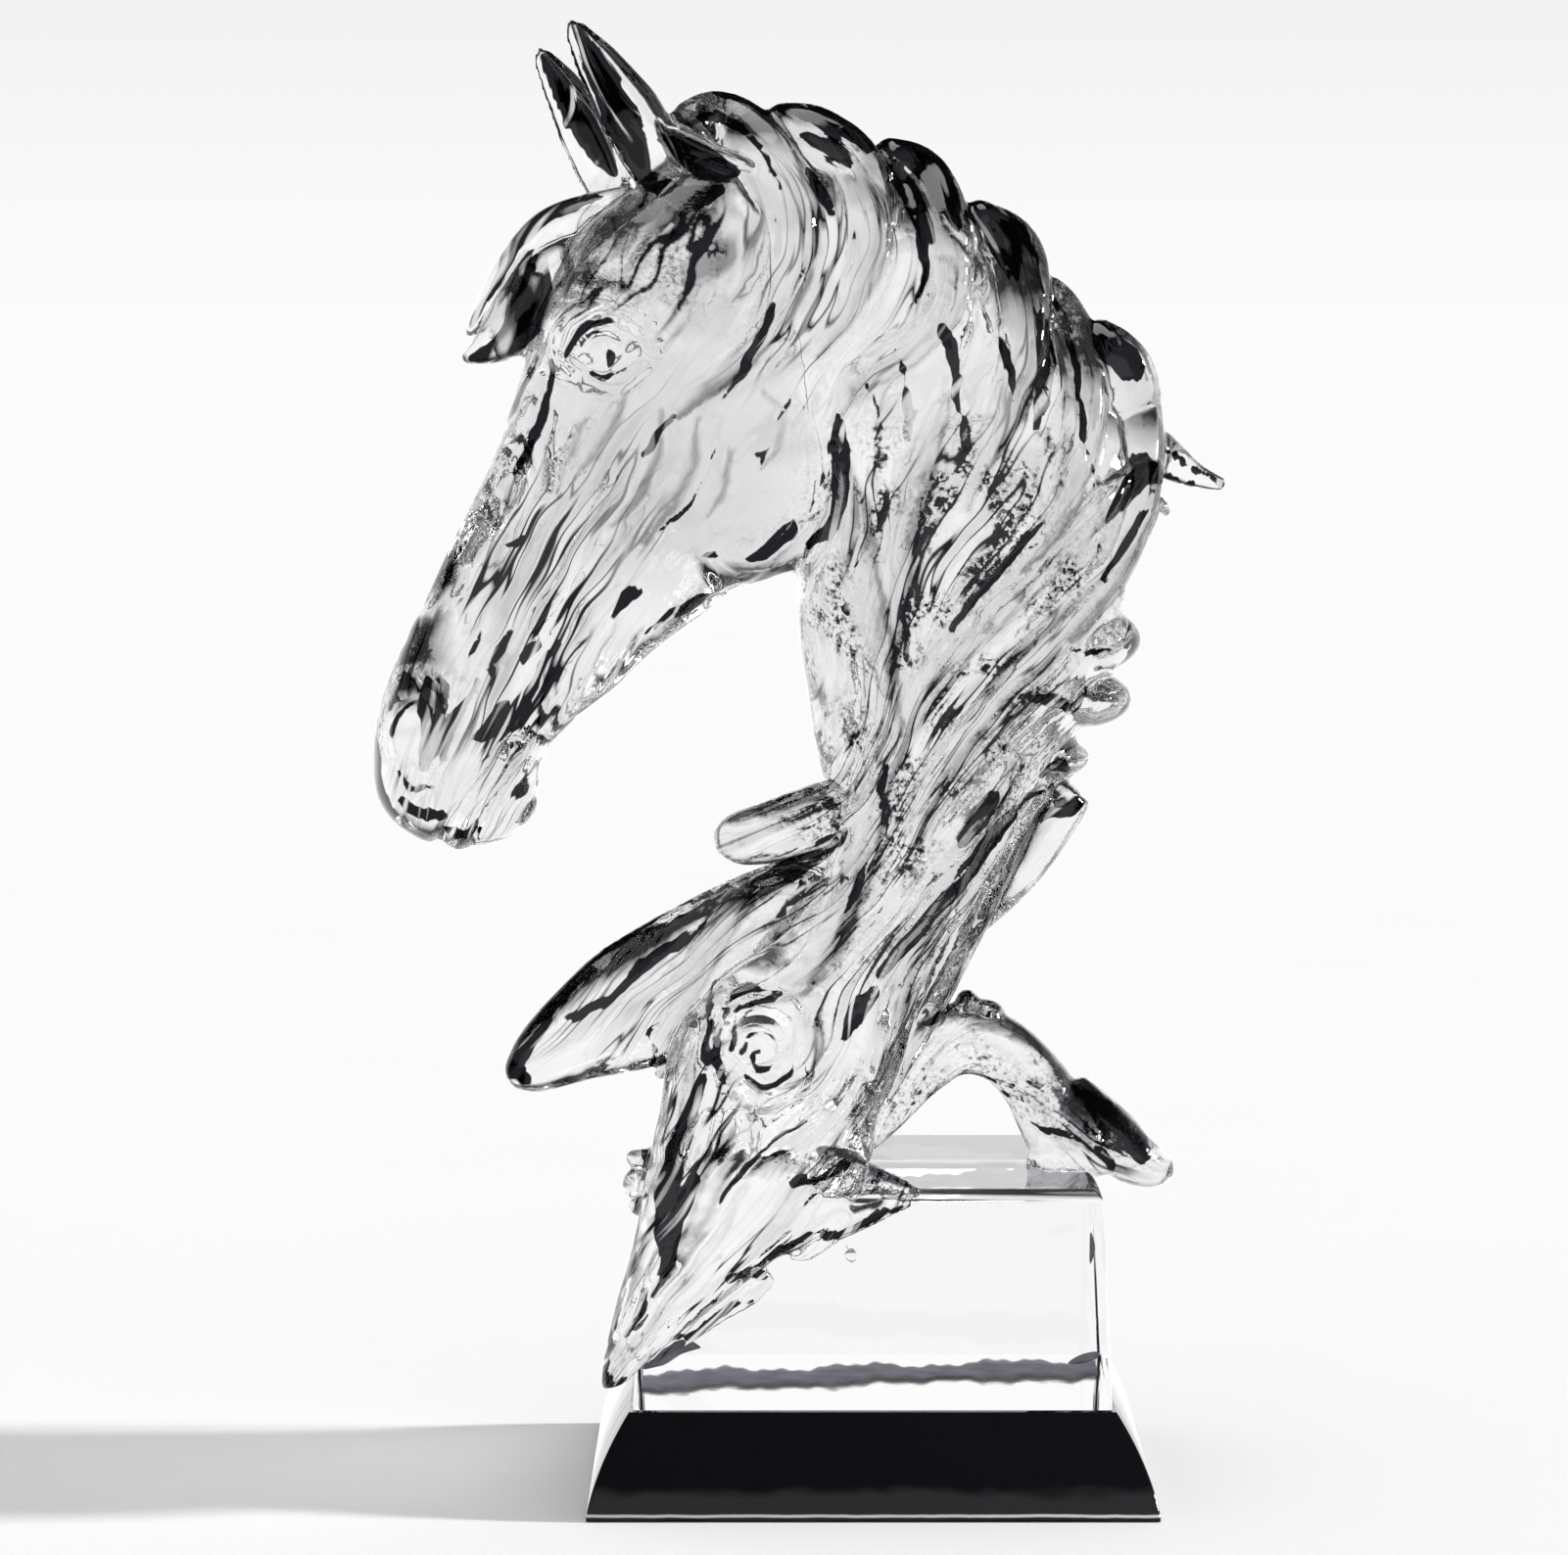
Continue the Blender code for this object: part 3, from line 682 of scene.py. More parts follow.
    drips: tuple[Rows, ...] = (
        ((-16, 86, 8), (-7, 85, 6.5), (0, 84, 3.8), (6, 82.3, 2.3), (12, 80.4, 1.2)),
        ((9.5, 78.6, 1.5), (3, 76.5, 2.4), (-3, 74.5, 3.2), (-10, 72, 3.6), (-17, 69.5, 2.5)),
        ((-6, 79, 5), (-15, 75, 6), (-23, 70, 5), (-30, 66, 3.5), (-36, 63, 1.5)),
        ((-25, 60, 2.2), (-31, 56, 3.8), (-38, 52, 3.8), (-48, 45, 3.4), (-57, 38, 2)),
        ((-8, 72, 2.4), (-14, 67, 2.2), (-17, 64.5, 1.4), (-21, 64, 0.8)),
        ((-30, 60, 2.6), (-29, 57, 2.0), (-30, 54, 1.0)),
        ((-6.5, 66, 1.6), (-5, 64.5, 1.8), (-4, 64, 1.2)),
    )

    def _turn(self, verts: list) -> None:
        """Turns what was drawn facing straight to the side, so that the nose comes forward a little.

        Args:
            verts: Its vertices.
        """
        for vert in verts:
            x, y, z = vert.co
            vert.co = (
                x - y * math.sin(self.head_turn),
                (x - self.head_pivot) * math.tan(self.head_turn) + y * math.cos(self.head_turn),
                z,
            )

    def _lay_locks(self, clay: Clay) -> None:
        """Drapes the mane over both sides, and the front locks and the runs over the near one.

        Args:
            clay: The shapes so far, which get the locks and the runs.
        """
        tree = BVHTree.FromBMesh(clay.bm)
        for paths, sides in ((self.mane, tuple(Side)), (self.front_locks, (Side.NEAR,))):
            for path, side in ((path, side) for path in paths for side in sides):
                rows = []
                for x, z, half in path:
                    y = clay.surface_y(tree, x, z, side) - side.value * self.sunk * half
                    rows.append((x, y, z, half, half * self.flatness))
                clay.limb(rows, self.lock_points, self.lock_sections)
        for path in self.drips:
            rows = []
            for x, z, half in path:
                rows.append((x, -self.front - half * self.proud, z, half, half * self.flatness))
            clay.limb(rows, self.lock_points)

    def model(self) -> Clay:
        """Lays the raw shapes: bodies first, then limbs, then the locks draped over them.

        Returns:
            The overlapping closed shapes.
        """
        clay = Clay()
        clay.body(self.neck)
        head = clay.body(self.skull)
        for x, z, out, *half_sizes in self.head_lumps:
            for side in Side:
                head += clay.lump((x, side.value * out, z), half_sizes)
        self._turn(head)
        for ear in self.ears:
            clay.ear(*ear)
        for rows in self.limbs:
            clay.limb(rows)
        for x, y, z, *half_sizes in self.lumps:
            clay.lump((x, y, z), half_sizes)
        self._lay_locks(clay)
        return clay


@dataclass(frozen=True)
class Zone:
    """An oval of the front view and how its surface is worked."""

    x: float
    z: float
    half_width: float
    half_height: float
    broad: float = 0.0
    fine: float = 0.0
    strand: float = 0.0
    froth: float = 0.0
    # How much grey shade is painted on.
    painted_grey: float = 0.0


@dataclass
class Carving:
    """What is worked into the surface: ridges, streaks along the run and froth, and painted shade: dark
    marks and grey.

    Paths are rows of x, z and half width. A ridge's path comes after its height. The plain and the calm
    ovals are x, z, half sizes and the share of the zones' values that they take away. The streaks are the
    zones' value that they follow, their width, length and seed, their height and how sharp they are.
    """

    figure: Figure
    face_guides: tuple[Rows, ...] = (
        ((-50, 335), (-72, 303), (-88, 262), (-106, 222), (-118, 185)),
        ((-46, 318), (-60, 288), (-76, 252), (-92, 216), (-104, 182)),
        ((-30, 300), (-38, 268), (-54, 240), (-72, 210), (-92, 178)),
        ((-8, 282), (-14, 255), (-28, 238), (-48, 230)),
        ((-2, 150), (-46, 130), (-76, 114), (-92, 105)),
        ((-10, 160), (-40, 152), (-62, 138), (-84, 118)),
        ((0, 174), (-38, 166)),
        ((52, 178), (34, 158), (10, 138)),
        ((40, 190), (22, 168), (2, 140)),
        ((50, 205), (30, 188), (12, 170)),
        ((54, 84), (40, 104), (22, 112), (2, 98)),
        ((77, 80), (62, 90), (50, 102)),
        ((-58, 328), (-81, 319), (-97, 301), (-103, 293)),
        ((0, 100), (-14, 72), (-40, 52), (-64, 33)),
        ((-50, 112), (-56, 84), (-62, 60), (-67, 36)),
        ((-25, 100), (-38, 78), (-52, 56), (-64, 36)),
        ((-16, 128), (-8, 116), (-14, 104), (-28, 92), (-44, 66)),
    )
    zones: tuple[Zone, ...] = (
        Zone(-55, 312, 34, 28, broad=0.4, fine=0.3, strand=1.1, froth=0.3),
        Zone(-50, 262, 44, 42, broad=0.35, fine=0.05, strand=0.45, painted_grey=0.28),
        Zone(-95, 215, 44, 60, broad=0.7, fine=0.2, strand=1.3, painted_grey=0.05),
        Zone(10, 300, 74, 58, broad=0.7, fine=0.15, strand=0.9, painted_grey=0.04),
        Zone(20, 235, 62, 52, broad=0.8, fine=0.4, strand=1.1, froth=0.9, painted_grey=0.05),
        Zone(15, 185, 52, 46, broad=0.8, fine=0.4, strand=1.2, froth=0.7, painted_grey=0.03),
        Zone(-5, 145, 52, 36, broad=0.8, fine=0.35, strand=1.2, froth=0.3, painted_grey=0.03),
        Zone(-34, 85, 40, 62, broad=0.7, fine=0.25, strand=1.3, painted_grey=0.03),
        Zone(6, 81, 18, 12, broad=0.6, fine=0.4, strand=0.8, froth=0.6),
        Zone(56, 205, 24, 30, broad=0.7, fine=0.3, strand=0.8, froth=0.2),
        Zone(30, 102, 52, 26, broad=0.4, fine=0.15, strand=0.5, froth=0.5),
        Zone(63, 93, 20, 18, broad=0.4, fine=0.3, strand=1.3, froth=0.8),
        Zone(-66, 126, 36, 30, broad=0.5, fine=0.12, strand=0.9),
        Zone(-62, 46, 17, 28, broad=0.4, strand=1.2),
    )
    plain: Rows = (
        (-34, 262, 28, 30, 0.9),
        (-66, 291, 15, 12, 0.9),
        (13, 280, 9, 20, 0.85),
        (60, 276, 11, 24, 0.85),
        (-107, 218, 8, 16, 0.8),
        (-113, 195, 12, 13, 0.6),
        (-27.5, 115, 13, 16, 0.9),
        (61, 208, 10, 20, 0.8),
        (38, 158, 12, 22, 0.95),
        (52, 174, 14, 18, 0.9),
        (-14, 79, 12, 9, 0.75),
        (-30, 97, 9, 8, 0.6),
    )
    calm: Rows = (
        (-70, 122, 20, 11, 0.7),
        (36, 300, 9, 20, 0.75),
        (-26, 338, 16, 16, 0.7),
        (12, 334, 22, 14, 0.7),
        (-15, 305, 16, 22, 0.6),
        (-92, 215, 26, 40, 0.5),
    )
    ridges: tuple[tuple, ...] = (
        (-2.2, (-110, 163, 2.4), (-106, 172, 2.4), (-99, 183, 2.4), (-91, 193, 2)),
        (1.3, (-104, 165, 2.2), (-101, 174, 2.2), (-95, 183, 2.2), (-88, 190, 2)),
        (1.1, (-77, 291, 2.4), (-73, 297, 3.4), (-66, 299.5, 3.6), (-59, 297, 3.4), (-54, 291, 2.2)),
        (0.9, (-76, 287, 2.4), (-71, 282.5, 3.4), (-64, 281.5, 3.4), (-57, 285, 2.2)),
        (-0.6, (-75, 290, 1.8), (-71, 294.5, 2.2), (-65, 296, 2.2), (-59, 293, 1.8)),
        (-0.5, (-74, 288, 1.6), (-70, 285.5, 2), (-64, 285, 2), (-59, 287.5, 1.6)),
        (1.6, (-58, 262, 3), (-66, 248, 3.5), (-74, 234, 3.5), (-84, 220, 2.5)),
        (-1.8, (-8, 262, 3), (-12, 245, 4), (-24, 232, 4), (-40, 226, 2)),
        (-0.8, (-111, 188, 3), (-111, 196, 4), (-111, 203, 3)),
        (0.5, (-119, 188, 3), (-121, 197, 3.6), (-117, 206, 3)),
        (0.9, (-39, 115, 1.8), (-37, 124, 2.4), (-30, 129, 2.6), (-22, 127, 2.6), (-17, 120, 2.6),
         (-17, 111, 2.4), (-21, 103, 2.4), (-28, 100, 2.4), (-35, 103, 2.2), (-38, 109, 1.6)),
        (-0.7, (-35, 117, 1.4), (-33.5, 124.5, 1.8), (-27, 127.5, 1.8), (-21, 124, 1.8),
         (-19.3, 117, 1.8), (-21.5, 110, 1.8), (-27, 107, 1.8), (-32, 109.5, 1.6)),
        (1.7, (-46, 120, 2.4), (-49, 104, 3), (-52, 86, 3), (-57, 66, 3), (-63, 48, 2)),
        (-1.9, (-40, 100, 2.4), (-44, 86, 3), (-51, 68, 3), (-59, 50, 2)),
        (1.7, (-30, 98, 2.4), (-34, 84, 3), (-42, 70, 3), (-52, 56, 2)),
    )
    black: tuple[Rows, ...] = (
        ((-74.5, 371, 1.4), (-70, 362, 3.6), (-65, 352, 4.8), (-61, 343, 4.8), (-58, 336, 3.0)),
        ((-83.5, 364, 1.8), (-79, 356, 3.8), (-74, 348, 4.4), (-69, 340, 3.6), (-65, 335, 2.0)),
        ((-54, 343, 1.8), (-47, 339.5, 4.2), (-41, 336, 4.4), (-34, 335, 2.0)),
        ((-58, 334, 2.2), (-50, 329.5, 3.6), (-43, 328, 3.2), (-37, 331, 1.4)),
        ((-48, 345, 0.8), (-41, 348.5, 1.8), (-34, 346, 1.8), (-27, 339, 1.2), (-23, 330, 0.8)),
        ((-66, 329, 1.0), (-78, 326, 2.4), (-88, 320, 2.6), (-93, 311, 1.6), (-97, 303, 1.2),
         (-102, 296, 0.8)),
        ((-84, 312, 2.2), (-86, 306, 5.4), (-87, 299, 5.6), (-92, 292, 3.6), (-102, 287, 1.2)),
        ((-79, 318, 1.0), (-76, 310, 1.4), (-78, 302, 1.2)),
        ((-40, 354.5, 1.4), (-33, 354, 2.4), (-27, 350, 1.6)),
        ((-27, 351.5, 1.2), (-18, 350, 2.8), (-8, 346, 3.6), (-1, 341, 2.4)),
        ((-18, 344, 1.4), (-12, 341, 2.6), (-6, 337, 1.8)),
        ((-16, 335, 1.0), (-13, 329, 1.6), (-10, 324, 0.8)),
        ((0, 342, 1.6), (8, 340, 3.6), (15, 335, 4.6), (19, 327, 3.2), (22, 321, 1.2)),
        ((3, 337, 1.8), (8, 331, 3.2), (12, 322, 2.8), (13, 310, 1.6), (11, 302, 0.8)),
        ((23, 328, 1.6), (31, 321, 4.0), (35, 313, 3.6), (36, 306, 0.8)),
        ((30, 325, 2.0), (38, 319, 2.6), (41, 314, 1.0)),
        ((41, 302, 0.6), (43, 295, 2.4), (43.5, 286, 2.6), (42, 275, 1.6), (40, 266, 0.6)),
        ((56, 298, 1.4), (59, 292, 3.6), (64, 287, 4.4), (67, 284, 2.2)),
        ((72, 261, 1.4), (67, 257, 3.0), (62, 252, 2.6), (59, 246, 1.2)),
        ((70, 250, 0.8), (64, 241, 1.6), (58, 232, 1.2)),
        ((62, 231, 0.8), (66, 224, 1.4), (65, 214, 1.4)),
        ((74, 265, 0.8), (79, 261.5, 1.4), (84, 258.6, 1.2), (90, 255.6, 1.0)),
        ((71, 258.5, 1.2), (76, 256.5, 1.8), (82, 255.6, 1.0)),
        ((-32, 237, 1.0), (-26, 240, 2.2), (-21, 244.5, 2.2), (-18, 246, 0.8)),
        ((-41, 238, 1.0), (-39, 238.5, 1.2)),
        ((-17, 248, 0.8), (-15, 254, 1.4), (-12, 259, 1.2)),
        ((-9, 274, 1.6), (-8.5, 265, 3.2), (-8, 255, 2.6), (-10, 246, 1.8), (-16, 241, 1.2)),
        ((-25, 267, 0.5), (-28, 264, 1.5), (-28, 261, 0.6)),
        ((-80, 288, 1.0), (-81, 278, 1.5), (-85, 268, 1.6), (-90, 259, 1.0)),
        ((-57, 231, 0.9), (-61, 229, 2.2), (-63, 226, 1.8), (-66, 222, 0.6)),
        ((-38, 229, 0.8), (-46, 226, 2.4), (-53, 222, 1.5), (-60, 217, 0.8)),
        ((-93, 240, 1.1), (-90, 242, 1.4), (-87, 244, 0.6)),
        ((-100, 231, 0.7), (-103, 228, 1.3), (-106, 223, 0.7)),
        ((-97, 222, 0.7), (-100, 216, 1.2), (-102, 211, 0.6)),
        ((-90, 221, 0.8), (-93, 215, 1.5), (-96, 209, 1.1)),
        ((-112, 208, 1.0), (-110.5, 202, 3.2), (-110, 194, 3.0), (-112.5, 186, 1.2)),
        ((-99, 208, 0.6), (-101, 203, 1.1), (-105, 198, 1.8), (-107, 192, 1.4), (-108, 187, 0.8)),
        ((-120, 191, 0.6), (-120, 196, 1.2), (-117, 201, 1.2), (-113, 203, 0.5)),
        ((-92, 201, 1.2), (-95, 197, 2.6), (-99, 193, 1.2)),
        ((-79, 217, 1.2), (-84, 208, 1.2), (-88, 199, 2.0), (-93, 192, 1.0)),
        ((-86, 184, 0.8), (-88, 180, 1.6), (-91, 177, 0.8)),
        ((-118, 177.5, 1.6), (-113, 174, 2.2), (-108, 174, 1.8)),
        ((-119, 185, 0.8), (-116, 181, 1.2), (-110, 181, 0.8)),
        ((-108, 171, 0.8), (-103, 168.5, 1.8), (-99, 172, 1.2), (-95, 179, 0.8), (-92, 186, 0.6)),
        ((-126, 193, 1.6), (-126, 184, 3.0), (-122.5, 174, 2.6), (-116, 168, 1.8), (-110, 166, 1.0)),
        ((-85, 216, 1.8), (-88, 213, 1.6)),
        ((-44, 151, 0.8), (-54, 147, 1.8), (-64, 141, 2.6), (-74, 133, 3.8), (-82, 125, 4.2),
         (-88, 117, 4.4), (-91.5, 109, 3.6), (-88, 105, 2.0)),
        ((-42, 145, 1.0), (-50, 139, 2.2), (-58, 134, 2.2), (-66, 126, 1.8), (-76, 121, 1.6)),
        ((-20, 179, 1.2), (-26, 176, 2.0), (-28, 173, 1.0)),
        ((-9, 174, 1.4), (-16, 178, 1.2)),
        ((-7, 168, 1.2), (-13, 163, 2.6), (-21, 158, 3.2), (-32, 154, 1.4)),
        ((-17, 156, 0.8), (-20, 150, 1.4), (-26, 143, 0.6)),
        ((3, 186, 0.7), (3, 177, 1.4), (4, 167, 0.9)),
        ((-1, 163, 0.8), (-4, 154, 1.2), (-7, 147, 0.8)),
        ((64, 229, 1.2), (68, 223, 2.2), (67.5, 215, 2.2), (64, 210, 1.8), (57, 209, 0.8)),
        ((66, 206, 1.4), (66, 200, 2.0), (61, 195.5, 2.0), (55, 192.5, 1.6), (48, 189, 1.0)),
        ((51, 215, 0.8), (55, 213.5, 1.5), (60, 215, 1.0)),
        ((37, 203, 0.8), (44, 202.5, 2.0), (51, 200, 1.6), (54, 205, 0.8)),
        ((31, 179, 1.2), (27, 172, 3.0), (23, 167, 1.6)),
        ((52, 181, 1.2), (48, 185, 1.8), (43, 183, 0.9)),
        ((48, 180, 0.7), (38, 176, 1.0), (28, 166, 1.1), (20, 158, 0.7)),
        ((-22, 128, 0.6), (-28, 130, 1.0), (-34, 128, 1.3), (-38, 121, 1.0), (-39, 113, 1.1),
         (-36, 106, 0.6)),
        ((-20, 126, 0.5), (-17, 119, 0.9), (-17, 112, 0.6)),
        ((-35, 116, 0.6), (-34, 124, 1.0), (-27, 127.5, 0.9), (-21, 124, 0.9)),
        ((-19.6, 119, 0.7), (-19.8, 113, 1.0), (-22.5, 108.5, 1.1), (-28, 107, 1.1), (-32, 109.5, 0.8)),
        ((-33, 114, 0.6), (-31, 119, 0.9), (-26, 119.8, 0.9), (-23.6, 115.5, 1.0), (-25, 112, 1.2),
         (-28.6, 111.6, 1.4), (-30, 114.4, 1.1), (-28, 116, 0.8)),
        ((-40, 131, 0.8), (-41, 122, 1.5), (-42, 113, 1.6)),
        ((-43, 108, 1.2), (-46, 100, 2.2), (-49, 91, 2.5), (-51, 82, 3.2), (-51, 74, 3.6),
         (-51, 67, 2.6), (-52, 60, 1.4), (-55, 56, 0.6)),
        ((-45, 85, 1.8), (-47, 79, 2.2), (-49, 74, 1.4)),
        ((-52, 122, 0.8), (-56, 117, 1.2), (-55, 111, 0.8)),
        ((-55, 112, 1.0), (-56, 104, 2.0), (-56, 96, 2.2), (-57, 86, 1.4)),
        ((-59, 76, 1.2), (-61, 66, 2.0), (-64, 56, 2.2), (-67, 44, 1.6)),
        ((-57, 58, 0.8), (-58, 52, 1.6), (-61, 46, 0.8)),
        ((-67, 40, 1.6), (-67, 35, 2.8), (-64.5, 31.5, 2.6), (-61.5, 35, 1.0)),
        ((-64.5, 58, 0.9), (-64.8, 50, 2.0), (-65.6, 43, 1.6)),
        ((-14, 85, 0.6), (-18, 85, 2.0), (-21, 84, 0.6)),
        ((-7, 89, 1.3), (-15, 84, 0.9)),
        ((9, 77, 0.7), (2, 76, 1.4), (-4, 72, 1.6), (-12, 70, 1.4)),
        ((-16, 71, 0.9), (-23, 67, 1.7), (-30, 63, 1.2)),
        ((-27, 60.5, 1.2), (-35, 61, 1.6)),
        ((-30, 54, 0.7), (-38, 51, 1.2), (-44, 46, 1.4), (-50, 44.5, 0.9)),
        ((12, 121, 0.9), (17, 122, 1.5), (21, 123, 1.0), (24, 126, 1.0), (29, 124, 0.7)),
        ((38, 117, 0.6), (40, 116, 1.0)),
        ((29, 106, 0.8), (34, 101, 1.1), (38, 94, 0.7)),
        ((48, 110, 0.8), (52, 106, 2.6), (57, 101, 4.4), (62, 95, 5.0), (66, 90, 4.4), (69, 85, 2.4)),
        ((58, 86, 1.6), (62, 82, 1.2)),
        ((40, 94, 0.8), (46, 91.5, 1.8), (53, 89.5, 1.0)),
    )
    folds: tuple[Rows, ...] = (
        ((-52.8, 275, 0.8), (-53.7, 264, 1.8), (-59, 253, 1.8), (-65.2, 246, 0.8)),
        ((-43.9, 273, 0.8), (-44.8, 262, 1.8), (-50.1, 251, 1.8), (-57.2, 242, 0.8)),
        ((-35.9, 266, 0.8), (-36.8, 257, 1.6), (-41.2, 248, 0.8)),
        ((-60.8, 280, 0.8), (-66.1, 269, 1.8), (-74.1, 258, 0.8)),
        ((-27, 280, 0.8), (-22.5, 274, 1.6), (-23.4, 267, 1.6), (-27.9, 261, 0.8)),
        ((-71.4, 273, 0.8), (-75.9, 264, 1.8), (-79, 254, 0.8)),
        ((-8, 264, 1.0), (-12, 248, 3.0), (-22, 238, 2.4), (-34, 232, 1.0)),
        ((-99, 246, 1.0), (-107, 230, 2.4), (-114, 214, 2.0), (-118, 204, 1.0)),
        ((47, 178, 1.6), (42, 169, 3.4), (36, 159, 3.4), (29, 147, 2.4)),
        ((43, 174, 1.6), (39, 165, 3.0), (32, 154, 2.4)),
    )
    lines: tuple[Rows, ...] = (
        ((-44, 272, 0.6), (-35, 281, 1.0), (-30, 290, 1.2), (-25, 301, 0.8)),
        ((-50, 274, 0.3), (-55, 267, 0.9), (-58, 264, 0.3)),
        ((-40, 268, 0.3), (-41, 260, 0.5), (-46, 252, 0.6), (-53, 245, 0.8)),
        ((-66, 262, 0.3), (-70, 256, 0.8), (-75, 252, 0.3)),
        ((-20, 280, 0.5), (-22, 276, 0.8), (-24, 272, 0.5)),
        ((-84, 288, 0.8), (-88, 280, 1.1), (-93, 270, 0.8)),
        ((41, 318, 0.7), (44, 306, 1.0), (49, 296, 1.1), (51.5, 284, 1.3), (53, 270, 1.0),
         (57, 252, 0.6)),
        ((29, 300, 0.8), (33, 290, 1.7), (36, 278, 0.8)),
        ((15, 298, 0.8), (20, 290, 1.8), (21, 279, 1.2), (24, 266, 1.4)),
        ((6, 290, 0.7), (8, 282, 1.0), (9, 268, 0.6)),
        ((-3, 284, 0.6), (1, 276, 0.9), (1, 264, 0.7), (-3, 252, 0.5)),
        ((-76.5, 288.5, 0.8), (-72.5, 295, 1.3), (-66, 297.5, 1.3), (-60, 295, 1.1), (-57.5, 290, 0.7)),
        ((-72.5, 291, 0.8), (-69, 294.4, 1.1), (-64.5, 294.4, 1.1), (-61, 291.5, 0.9)),
        ((-73, 286.5, 0.8), (-67.5, 283.6, 1.2), (-61.5, 285.5, 0.9)),
        ((-66.2, 291.5, 1.0), (-65, 288.5, 1.9), (-65.5, 286, 1.0)),
        ((-20, 92, 0.5), (-28, 90, 0.9), (-35, 84, 0.8), (-39, 77, 0.5)),
        ((-17, 99, 0.5), (-25, 94, 0.7), (-32, 87, 0.5)),
        ((-12, 82, 0.7), (-18, 79, 0.9)),
        ((45, 250, 0.6), (36, 240, 1.2), (27, 230, 1.5), (20, 220, 1.0)),
        ((10, 232, 0.6), (8, 224, 1.0), (9, 212, 0.8)),
        ((4, 255, 0.6), (1, 245, 1.0), (-4, 236, 0.7)),
        ((36, 172, 1.2), (30, 165, 1.6), (24, 157, 1.8), (16, 150, 2.0), (10, 143, 2.2), (2, 134, 1.6)),
        ((0, 129, 2.0), (-5, 123, 2.6), (-8, 118, 1.0)),
        ((54, 177, 1.0), (50, 174, 2.0), (43, 172, 1.0)),
    )

    kinds: tuple[str, ...] = ("broad", "fine", "strand", "froth", "painted_grey")
    thinner: float = 0.35
    ridge_crest: float = 1.5
    lock_crest: float = 0.5
    line_depth: float = 0.45
    groove: tuple[float, float] = (0.95, 0.12)
    groove_depth: float = 0.4
    shadow_steps: int = 3
    shadow_least: float = 0.5
    calmer_locks: tuple[tuple[str, float], ...] = (("fine", 0.8), ("strand", 0.45), ("froth", 0.9))
    # Grey painted on as shade over the locks, as their painted shadows and in the folds.
    lock_painted_grey: float = 0.16
    lock_shadows: Rows = ((0.9, 0.15, 0.25), (0.5, 0.4, 0.14))
    fold_painted_shade: float = 0.22
    most_painted_grey: float = 0.6
    streaks: tuple[tuple, ...] = (("broad", 3.2, 90, 11, 0.75, 1.0), ("fine", 1.8, 48, 31, 0.42, 1.5))
    work_sway: tuple[float, float] = (5.0, 0.35)
    work_slack: float = 0.15
    over_block: tuple[float, float] = (-30.0, 78.0)
    face_skin: float = 3.0
    quiet_share: float = 0.6
    shade_sway: tuple[float, float] = (3.0, 0.3)
    shade_slope: float = 3.0
    shade_slack: float = 0.2
    far_share: float = 0.5
    far_froth: float = 0.12

    def __post_init__(self) -> None:
        """Draws the maps for the figure."""
        locks = [*self.figure.mane, *self.figure.front_locks]
        flow = Flow([*locks, *self.face_guides])
        self.run = flow.across()
        self.zone_maps = {kind: self._spread(kind) for kind in self.kinds}
        self.ink, ridges, body = Sheet(), Sheet(), Sheet()
        for value, *path in self.ridges:
            ridges.draw(path, value, self.ridge_crest)
        # The blots and lines are painted shade: dark marks put where the resin shows refracted dark.
        for path in (*self.black, *self.lines):
            self.ink.mark([(x, z, half - self.thinner) for x, z, half in path])
        for path in self.lines:
            ridges.draw(path, -self.line_depth)
        for path in locks:
            body.draw(path, 1.0, self.lock_crest)
            ridges.draw(self._edge(path, *self.groove), -self.groove_depth)
        for path in self.folds:
            ridges.draw(path, -self.groove_depth)
        for kind, share in self.calmer_locks:
            self.zone_maps[kind] *= 1 - share * np.clip(body.values, 0, 1)
        self.zone_maps["painted_grey"] = self._painted_grey(locks, body)
        self.height = {side: self._relief(flow, ridges, side) for side in Side}

    def _painted_grey(self, locks: list[Rows], body: Sheet) -> Array:
        """Adds the painted grey of the locks, their painted shadows and the shade painted in the folds to
        that of the zones.

        Args:
            locks: The locks' paths.
            body: Where the locks lie.

        Returns:
            The haze at every point of the front view.
        """
        painted_grey = Sheet()
        painted_grey.values = self.zone_maps["painted_grey"] + self.lock_painted_grey * np.clip(body.values, 0, 1)
        for path in locks:
            for off, share, value in self.lock_shadows:
                painted_grey.draw(self._edge(path, off, share), value)
        for path in self.folds:
            painted_grey.draw(path, self.fold_painted_shade)
        return np.clip(painted_grey.values, 0, self.most_painted_grey)

    def _relief(self, flow: Flow, ridges: Sheet, side: Side) -> Sheet:
        """Adds one side's streaks to the ridges.

        Args:
            flow: The run of the resin.
            ridges: The ridges, which both sides share.
            side: The side.

        Returns:
            How far the surface is raised at every point of the front view.
        """
        height = Sheet()
        height.values = ridges.values.copy()
        for kind, width, length, seed, depth, contrast in self.streaks:
            streaks = flow.streaks(width, length, seed + side.value)
            height.values += depth * self.zone_maps[kind] * np.tanh(contrast * streaks.values)
        return height

    def _spread(self, kind: str) -> Array:
        """Spreads one of the zones' values over the front view, less in the plain and the calm ovals.

        Args:
            kind: The name of the value.

        Returns:
            The value at every point of the front view.
        """
        sheet = Sheet()
        for zone in self.zones:
            mask = sheet.oval(zone.x, zone.z, zone.half_width, zone.half_height)
            sheet.values = np.maximum(sheet.values, mask * getattr(zone, kind))
        fewer = {"painted_grey": (), "strand": self.plain, "froth": self.plain}
        quiet = fewer.get(kind, self.plain + self.calm)
        for x, z, half_width, half_height, share in quiet:
            sheet.values *= 1 - share * sheet.oval(x, z, half_width, half_height)
        return sheet.values

